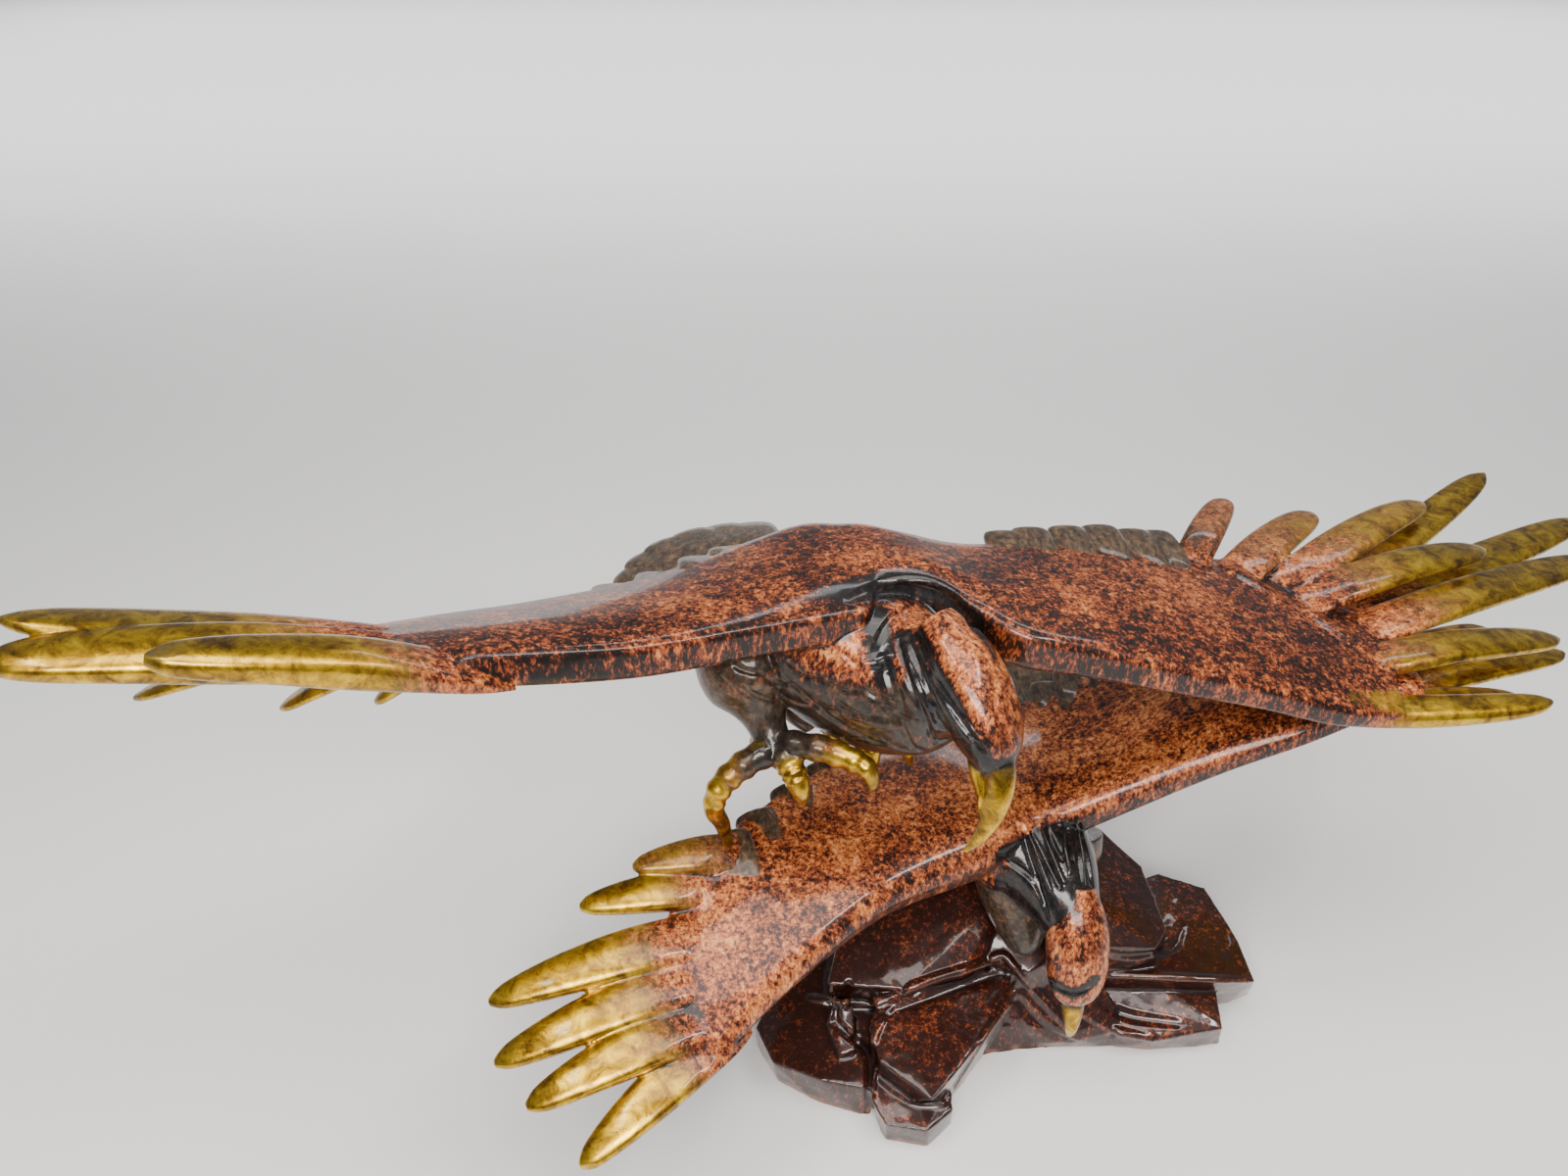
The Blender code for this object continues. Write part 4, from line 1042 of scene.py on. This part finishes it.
# Grooves and ridges: place, radius in mm, and depth in mm, below zero for a ridge
UPPER_STROKES = [
    # groove under the brow, and the rim of the hood beside it
    ([(948, 690, 2.4, 0.3), (966, 716, 3.0, 1.6), (984, 742, 2.6, 2.0), (1003, 766, 2.0, 1.2)], 16),
    ([(958, 698, 1.8, -0.3), (978, 726, 2.0, -1.1), (998, 751, 1.8, -1.1), (1008, 764, 1.4, -0.5)], 16),
    # hollow between the hood and the wing
    ([(868, 612, 5.0, 0.6), (892, 602, 7.0, 2.2), (930, 598, 8.0, 2.8), (968, 612, 7.0, 2.4),
      (1000, 648, 5.0, 1.2)], 24),
    # folds down the side of the neck
    ([(917, 655, 2.8, 0.6), (930, 700, 3.2, 1.8), (948, 745, 2.8, 1.6), (962, 788, 2.2, 0.8)], 18),
    ([(927, 650, 2.4, 0.5), (946, 700, 2.8, 1.5), (964, 738, 2.6, 1.3), (978, 770, 2.0, 0.5)], 18),
    ([(905, 690, 2.6, 0.6), (918, 735, 2.8, 1.4), (938, 775, 2.2, 0.9)], 14),
    ([(922, 668, 1.8, -0.4), (938, 705, 2.0, -1.0), (955, 745, 1.8, -0.8)], 14),
    # breast muscle and the crease in front of it
    ([(858, 686, 5.0, -0.8), (884, 678, 6.0, -1.6), (905, 672, 5.0, -1.0)], 14),
    ([(905, 676, 4.0, 0.8), (914, 705, 5.0, 2.2), (924, 738, 4.0, 1.0)], 14),
    ([(862, 728, 5.0, -0.8), (892, 738, 6.0, -1.6), (918, 742, 5.0, -0.8)], 14),
    # feathering along the belly
    ([(812, 700, 3.0, 0.6), (840, 728, 3.4, 1.4), (880, 752, 3.0, 0.8)], 14),
    ([(800, 690, 2.6, 0.4), (826, 716, 3.0, 1.0), (858, 738, 2.6, 0.6)], 14),
    ([(735, 690, 2.4, 0.3), (748, 704, 2.8, 0.9), (766, 716, 2.4, 0.5)], 12),
    # mouth line
    ([(1002, 790, 1.4, 0.6), (1003, 812, 1.5, 1.1), (995, 838, 1.2, 0.7)], 12),
    # fillings between the roots of the left wing's fingers
    ([(1246, 574, 8, -1.6), (1266, 588, 10, -3.0), (1288, 600, 10, -2.4), (1306, 612, 8, -1.2)], 12),
    ([(1340, 628, 8, -1.4), (1362, 642, 9, -1.8), (1384, 656, 8, -1.2)], 10),
]
for x, y in FLANK:
    rim = [(x, y, 2.0, 0.3), (x + 12, y + 10, 2.8, 1.1), (x + 28, y + 15, 2.2, 0.9)]
    UPPER_STROKES.append((rim + [(x + 40, y + 14, 1.6, 0.2)], 9))
LOWER_STROKES = [
    # hackles that part from the neck under the wings
    ([(1018, 872, 2.6, 0.6), (1038, 884, 3.0, 2.0), (1056, 900, 3.0, 2.4), (1066, 922, 2.2, 0.8)], 14),
    ([(1043, 846, 2.0, 0.6), (1050, 872, 3.0, 2.6), (1060, 905, 3.0, 2.4), (1070, 938, 2.2, 0.6)], 14),
    ([(1053, 850, 1.8, 0.5), (1068, 878, 2.6, 2.2), (1082, 906, 2.4, 1.2)], 12),
    ([(1070, 846, 1.8, 0.5), (1076, 862, 2.2, 1.8), (1084, 878, 2.0, 0.8)], 10),
    ([(1088, 838, 1.8, 0.5), (1091, 858, 2.2, 1.8), (1094, 878, 2.0, 0.8)], 10),
    ([(1101, 840, 1.8, 0.5), (1108, 870, 2.6, 2.0), (1114, 902, 2.4, 1.2)], 12),
    ([(1046, 842, 1.8, -0.6), (1058, 872, 2.4, -1.8), (1072, 908, 2.0, -1.0)], 12),
    ([(1062, 842, 1.8, -0.6), (1074, 874, 2.4, -1.7), (1086, 900, 2.0, -0.8)], 12),
    ([(1082, 838, 1.8, -0.6), (1086, 864, 2.2, -1.6), (1092, 890, 2.0, -0.8)], 12),
    ([(1098, 840, 1.8, -0.6), (1102, 870, 2.2, -1.6), (1106, 902, 2.0, -0.8)], 12),
    # the notch between the hood and the beak
    ([(1072, 1002, 2.0, 0.5), (1084, 1011, 2.2, 1.2), (1098, 1014, 2.2, 1.3), (1112, 1009, 2.0, 0.6)], 14),
]
ROCK_STROKES = [
    # crest between the back and the foot of the rock
    ([(826, 1018, 4.0, -1.0), (870, 1024, 5.0, -3.0), (905, 1020, 5.0, -3.0),
      (950, 1000, 5.0, -3.0), (1000, 985, 5.0, -3.0), (1022, 975, 4.0, -2.4),
      (1036, 988, 4.0, -2.0), (1062, 1018, 4.5, -2.6), (1088, 1046, 4.0, -1.4)], 60),
    ([(905, 1036, 5.0, 1.2), (950, 1018, 6.0, 2.4), (1000, 1000, 6.0, 2.4), (1022, 994, 5.0, 1.6)], 30),
    # clefts beside the knob and the slab
    ([(866, 1004, 4.0, 1.4), (852, 1040, 5.0, 3.4), (884, 1072, 5.0, 3.6), (888, 1104, 5.0, 3.2),
      (884, 1138, 4.0, 1.6)], 36),
    # rims of the slab
    ([(908, 1030, 3.5, -0.8), (892, 1060, 4.0, -1.8), (892, 1092, 4.0, -1.6),
      (930, 1122, 4.0, -2.0), (962, 1126, 4.0, -1.4)], 36),
    ([(1036, 1004, 3.5, -0.8), (1012, 1046, 4.0, -1.6), (968, 1120, 3.5, -1.2)], 30),
    # folds of the foot
    ([(1040, 1022, 5.0, 1.4), (1066, 1050, 6.0, 2.6), (1092, 1062, 5.0, 1.2)], 24),
    ([(1120, 1020, 5.0, 1.4), (1150, 1036, 6.0, 2.4), (1200, 1044, 5.0, 1.2)], 24),
    ([(1106, 1034, 4.0, -1.0), (1140, 1052, 4.5, -2.0), (1176, 1060, 4.0, -1.0)], 24),
    # under the boulder
    ([(1128, 972, 4.0, 1.2), (1160, 976, 5.0, 2.4), (1196, 966, 5.0, 2.0), (1206, 944, 4.0, 1.0)], 24),
    ([(1110, 992, 4.0, -0.8), (1170, 996, 4.5, -1.8), (1230, 998, 4.5, -1.8),
      (1272, 1000, 4.0, -0.8)], 30),
]

# Tones laid along paths: place, radius in mm, and strength, after the tone's number for the gold
UPPER_BLACK_AND_SHADE = [
    # painted shade in the hollow between the hood and the wing
    ([(846, 612, 13, 0.35), (880, 602, 15, 0.75), (920, 597, 15, 0.85), (962, 608, 12, 0.85),
      (1000, 645, 8, 0.7), (1014, 668, 6, 0.5)], 24),
    # painted shade in the hollow in front of the neck, between the wing's end and the face
    ([(895, 628, 8, 1.0), (897, 655, 10, 1.0), (903, 690, 8, 1.0)], 16),
    ([(922, 650, 8, 0.85), (942, 700, 10, 0.95), (966, 745, 11, 1.0), (984, 778, 10, 1.0)], 18),
    ([(1046, 772, 7, 1.0), (1030, 784, 7, 1.0), (1022, 795, 6, 1.0)], 10),
]
UPPER_GOLD = [
    (0, [(1372, 712, 10, 0.15), (1405, 715, 12, 0.40), (1436, 718, 13, 0.75), (1460, 720, 12, 1.0)], 12),
    (0, [(1392, 668, 10, 0.15), (1420, 672, 11, 0.35), (1446, 676, 11, 0.6)], 10),
]
LOWER_DARK = [
    ([(1024, 872, 9, 0.9), (1050, 862, 10, 0.9), (1080, 852, 10, 0.85), (1108, 850, 9, 0.9),
      (1124, 850, 7, 0.9)], 18),
    ([(1060, 900, 10, 0.95), (1090, 880, 12, 0.95), (1115, 890, 9, 0.95)], 12),
    ([(1068, 1000, 5, 0.9), (1096, 1014, 6, 0.95), (1118, 1000, 5, 0.9)], 12),
]


def rock_texture(co):
    """Soft unevenness of the rock's faces."""
    out = np.zeros(len(co))
    for i, (x, y, z) in enumerate(co):
        out[i] = noise.fractal(Vector((x * 34, y * 34, z * 34)), 0.9, 2.1, 3)
    return out * 0.0006


# Finishes


class Sheet:
    """A node tree that is built by short calls."""

    def __init__(self, name):
        self.material = bpy.data.materials.new(name)
        self.material.use_nodes = True
        self.nodes = self.material.node_tree.nodes
        self.links = self.material.node_tree.links
        self.shader = self.nodes["Principled BSDF"]
        self.place = self.nodes.new("ShaderNodeTexCoord").outputs["Object"]

    def put(self, socket, value):
        if isinstance(value, bpy.types.NodeSocket):
            self.links.new(value, socket)
        else:
            socket.default_value = value

    def tone(self, word):
        node = self.nodes.new("ShaderNodeAttribute")
        node.attribute_name = word
        return node.outputs["Fac"]

    def add(self, kind, **inputs):
        """A node with its inputs by name, _ for a space."""
        node = self.nodes.new("ShaderNode" + kind)
        for word, value in inputs.items():
            self.put(node.inputs[word.replace("_", " ")], value)
        return node

    def stretched(self, turn, size):
        return self.add("Mapping", Vector=self.place, Rotation=turn, Scale=size).outputs["Vector"]

    def noise(self, scale, detail=3.0, rough=0.55, bend=0.0, place=None):
        place = place or self.place
        node = self.add("TexNoise", Vector=place, Scale=scale, Detail=detail, Roughness=rough)
        node.inputs["Distortion"].default_value = bend
        return node.outputs["Fac"]

    def math(self, kind, a, b=0.0, clamp=False):
        node = self.nodes.new("ShaderNodeMath")
        node.operation = kind
        node.use_clamp = clamp
        self.put(node.inputs[0], a)
        self.put(node.inputs[1], b)
        return node.outputs[0]

    def span(self, value, low, high, to_low=0.0, to_high=1.0):
        node = self.add("MapRange", Value=value, From_Min=low, From_Max=high, To_Min=to_low, To_Max=to_high)
        node.interpolation_type = "SMOOTHSTEP"
        return node.outputs["Result"]

    def ramp(self, value, stops):
        node = self.nodes.new("ShaderNodeValToRGB")
        self.put(node.inputs["Fac"], value)
        band = node.color_ramp
        while len(band.elements) < len(stops):
            band.elements.new(0.5)
        for element, (at, colour) in zip(band.elements, stops):
            element.position = at
            element.color = (*colour, 1)
        return node.outputs["Color"]

    def mix(self, share, a, b):
        node = self.nodes.new("ShaderNodeMix")
        node.data_type = "RGBA"
        self.put(node.inputs["Factor"], share)
        for socket, value in ((node.inputs[6], a), (node.inputs[7], b)):
            if isinstance(value, tuple):
                value = (*value, 1)
            self.put(socket, value)
        return node.outputs[2]

    def bump(self, height, strength, distance):
        return self.add("Bump", Strength=strength, Distance=distance, Height=height).outputs["Normal"]

    def finish(self, colour, metal, rough, normal, coat, coat_rough):
        values = {
            "Base Color": colour,
            "Metallic": metal,
            "Roughness": rough,
            "Normal": normal,
            "Specular IOR Level": 0.25,
            "Coat Weight": coat,
            "Coat Roughness": coat_rough,
        }
        for word, value in values.items():
            self.put(self.shader.inputs[word], value)
        return self.material


def mottle(sheet, lean):
    """The red patina: fine orange and red grains over black, in clouds. Gives colour and grain."""
    drip = sheet.stretched((0.0, 0.0, 0.0), (1.0, 1.0, 0.42))
    grain = sheet.noise(470, 5.0, 0.72, 0.5, drip)
    fleck = sheet.noise(185, 4.0, 0.74, 0.3, drip)
    cloud = sheet.noise(26, 3.0, 0.5)
    value = sheet.math("MULTIPLY", grain, 0.58)
    value = sheet.math("ADD", value, sheet.math("MULTIPLY", fleck, 0.42))
    drift = sheet.math("MULTIPLY", sheet.math("SUBTRACT", cloud, 0.5), 0.22)
    value = sheet.math("ADD", value, drift)
    value = sheet.math("ADD", value, lean)
    colour = sheet.ramp(
        value,
        [
            (0.405, (0.006, 0.004, 0.003)),
            (0.455, (0.026, 0.008, 0.005)),
            (0.485, (0.14, 0.026, 0.009)),
            (0.525, (0.30, 0.068, 0.018)),
            (0.575, (0.52, 0.165, 0.042)),
            (0.66, (0.76, 0.36, 0.14)),
        ],
    )
    return colour, value


def eagle_patina(name):
    sheet = Sheet(name)
    # dark holds the black of the face, neck and beak base and the painted shade of hollows, leading faces
    # and wing undersides; gold is already less where painted shade fills a hollow
    gold = sheet.tone("gold")
    dark = sheet.tone("dark")
    grey = sheet.tone("grey")
    ragged = sheet.noise(150, 4.0, 0.7, 0.4)
    loose = sheet.math("MULTIPLY", sheet.math("SUBTRACT", ragged, 0.5), 0.9)
    lean = sheet.math("ADD", sheet.math("MULTIPLY", dark, -0.22), 0.020)
    colour, value = mottle(sheet, lean)
    brown = sheet.ramp(
        sheet.noise(260, 4.0, 0.7, 0.5, sheet.stretched((0.3, 0.5, 0.4), (1.0, 0.45, 1.0))),
        [
            (0.32, (0.016, 0.012, 0.009)),
            (0.47, (0.055, 0.038, 0.024)),
            (0.58, (0.115, 0.072, 0.040)),
            (0.70, (0.23, 0.13, 0.06)),
        ],
    )
    brown_share = sheet.span(sheet.math("ADD", grey, sheet.math("MULTIPLY", loose, 0.9)), 0.25, 0.75)
    colour = sheet.mix(brown_share, colour, brown)
    black_share = sheet.span(sheet.math("ADD", dark, sheet.math("MULTIPLY", loose, 0.5)), 0.45, 0.95)
    black = sheet.ramp(
        sheet.noise(210, 4.0, 0.7, 0.8),
        [(0.40, (0.006, 0.006, 0.007)), (0.58, (0.022, 0.018, 0.017)), (0.70, (0.085, 0.042, 0.026))],
    )
    colour = sheet.mix(black_share, colour, black)
    leaf = sheet.ramp(
        sheet.noise(85, 5.0, 0.66, 0.7),
        [
            (0.34, (0.12, 0.058, 0.004)),
            (0.46, (0.33, 0.180, 0.008)),
            (0.56, (0.56, 0.330, 0.012)),
            (0.70, (0.82, 0.530, 0.030)),
        ],
    )
    pits = sheet.span(sheet.noise(620, 3.0, 0.6), 0.30, 0.42, 0.35, 1.0)
    leaf = sheet.mix(pits, (0.10, 0.055, 0.015), leaf)
    gold_share = sheet.span(sheet.math("ADD", gold, sheet.math("MULTIPLY", loose, 0.60)), 0.12, 0.88)
    colour = sheet.mix(gold_share, colour, leaf)
    worn = sheet.math("MULTIPLY", sheet.tone("proud"), 0.35)
    colour = sheet.mix(worn, colour, sheet.mix(gold_share, (0.34, 0.11, 0.04), (0.86, 0.60, 0.13)))
    metal = sheet.math("ADD", sheet.math("MULTIPLY", gold_share, 0.70), 0.26, True)
    rough = sheet.span(value, 0.40, 0.62, 0.36, 0.44)
    rough = sheet.math("SUBTRACT", rough, sheet.math("MULTIPLY", gold_share, 0.09))
    rough = sheet.math("SUBTRACT", rough, sheet.math("MULTIPLY", black_share, 0.16))
    normal = sheet.bump(sheet.noise(300, 4.0, 0.7), 0.16, 0.0006)
    return sheet.finish(colour, metal, rough, normal, 0.42, 0.08)


def rock_patina(name):
    sheet = Sheet(name)
    # dark is the painted shade of the rock's hollows; it deepens the red and brings in the near black
    dark = sheet.tone("dark")
    lean = sheet.math("ADD", sheet.math("MULTIPLY", dark, -0.16), -0.080)
    colour, value = mottle(sheet, lean)
    colour = sheet.mix(0.36, colour, (0.050, 0.010, 0.006))
    worn = sheet.math("MULTIPLY", sheet.tone("proud"), 0.5)
    colour = sheet.mix(worn, colour, (0.34, 0.12, 0.06))
    # near black laid in the painted shade of the hollows and in clouds of black patina
    shade = sheet.ramp(
        sheet.noise(140, 4.0, 0.7),
        [(0.35, (0.004, 0.003, 0.003)), (0.6, (0.022, 0.007, 0.005)), (0.75, (0.08, 0.022, 0.012))],
    )
    share = sheet.math("ADD", dark, sheet.math("MULTIPLY", sheet.noise(60, 3.0, 0.6), 0.6))
    share = sheet.span(share, 0.38, 0.88)
    colour = sheet.mix(share, colour, shade)
    normal = sheet.bump(sheet.noise(220, 3.0, 0.6), 0.10, 0.0006)
    return sheet.finish(colour, 0.25, 0.32, normal, 0.8, 0.08)


# The group itself

upper = casting(
    [(placed(v), f, t) for v, f, t in upper_eagle_forms()],
    "upper_eagle_cast", BIRD_VOXEL, 4, BIRD_FACES, UPPER_MELTS, UPPER_STROKES,
    [(1, rows, count) for rows, count in UPPER_BLACK_AND_SHADE] + UPPER_GOLD,
)
lower = casting(
    [(placed(v), f, t) for v, f, t in lower_eagle_forms()],
    "lower_eagle_cast", BIRD_VOXEL, 4, BIRD_FACES, LOWER_MELTS, LOWER_STROKES,
    [(1, rows, count) for rows, count in LOWER_DARK],
)
rock = casting(
    [hull(block) for block in ROCK_BLOCKS],
    "rock_cast", ROCK_VOXEL, 6, ROCK_FACES, [], ROCK_STROKES, [], rock_texture,
)

eagle_finish = eagle_patina("eagle_patina_glaze")
rock_finish = rock_patina("rock_patina_glaze")
for piece, node, slot, finish in (
    (upper, "upper_eagle", "eagle_patina", eagle_finish),
    (lower, "lower_eagle", "eagle_patina", eagle_finish),
    (rock, "rock_base", "rock_patina", rock_finish),
):
    piece.data.materials.clear()
    piece.data.materials.append(finish)
    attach(piece, "root")
    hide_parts(node)


# Floor, light and camera


def sheet_of(name, size, place, turn, finish):
    half = size / 2
    corners = [(-half, -half, 0), (half, -half, 0), (half, half, 0), (-half, half, 0)]
    mesh = bpy.data.meshes.new(name)
    mesh.from_pydata(corners, [], [(0, 1, 2, 3)])
    obj = bpy.data.objects.new(name, mesh)
    obj.location = place
    obj.rotation_euler = turn
    mesh.materials.append(finish)
    bpy.context.scene.collection.objects.link(obj)
    return obj


def area_light(name, place, target, wide, deep, power, colour):
    data = bpy.data.lights.new(name, "AREA")
    data.shape = "RECTANGLE"
    data.size = wide
    data.size_y = deep
    data.energy = power
    data.color = colour
    obj = bpy.data.objects.new(name, data)
    obj.location = place
    obj.rotation_euler = (Vector(target) - Vector(place)).to_track_quat("-Z", "Y").to_euler()
    bpy.context.scene.collection.objects.link(obj)


floor_sheet = Sheet("floor_paint")
flat = floor_sheet.bump(0.5, 0.0, 0.001)
floor_finish = floor_sheet.finish((0.84, 0.83, 0.82, 1), 0.0, 0.75, flat, 0.0, 0.5)
sheet_of("floor", 60.0, (0, 0, -0.0005), (0, 0, 0), floor_finish)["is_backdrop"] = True

world = bpy.data.worlds.new("studio")
bpy.context.scene.world = world
world.use_nodes = True
sky = world.node_tree.nodes["Background"]
sky.inputs["Color"].default_value = (0.86, 0.90, 0.95, 1)
sky.inputs["Strength"].default_value = 0.30
CENTRE = (0.0, 0.0, 0.2)
WASH_SPREAD = 1.2
# Name, place, target, width, depth, power and colour
for light in (
    ("above", (-0.12, -0.25, 1.75), CENTRE, 1.4, 0.8, 20, (1.0, 0.97, 0.93)),
    ("key", (-0.25, -1.40, 1.45), CENTRE, 1.2, 0.5, 40, (1.0, 0.97, 0.94)),
    ("tube right", (0.75, -0.30, 1.70), CENTRE, 0.8, 0.10, 9, (1.0, 0.98, 0.95)),
    ("tube left", (-0.95, -0.30, 1.70), CENTRE, 0.8, 0.10, 7, (1.0, 0.98, 0.95)),
    ("tube back", (0.50, 1.10, 1.60), CENTRE, 1.2, 0.12, 4, (0.96, 0.98, 1.0)),
    ("wash", (0.0, 4.2, 2.6), (0.0, 4.3, 0.0), 9.0, 5.0, 260, (1.0, 1.0, 1.0)),
):
    area_light(*light)
bpy.data.lights["wash"].spread = WASH_SPREAD

lens = bpy.data.cameras.new("camera")
lens.lens = LENS
lens.sensor_width = SENSOR
camera = bpy.data.objects.new("camera", lens)
camera.location = EYE
camera.rotation_euler = (EYE_TILT, 0, 0)
bpy.context.scene.collection.objects.link(camera)
bpy.context.scene.camera = camera

boxes = {"cad": cad_box, "visual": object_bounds()}
{word: [list(corner) for corner in box] for word, box in boxes.items()}
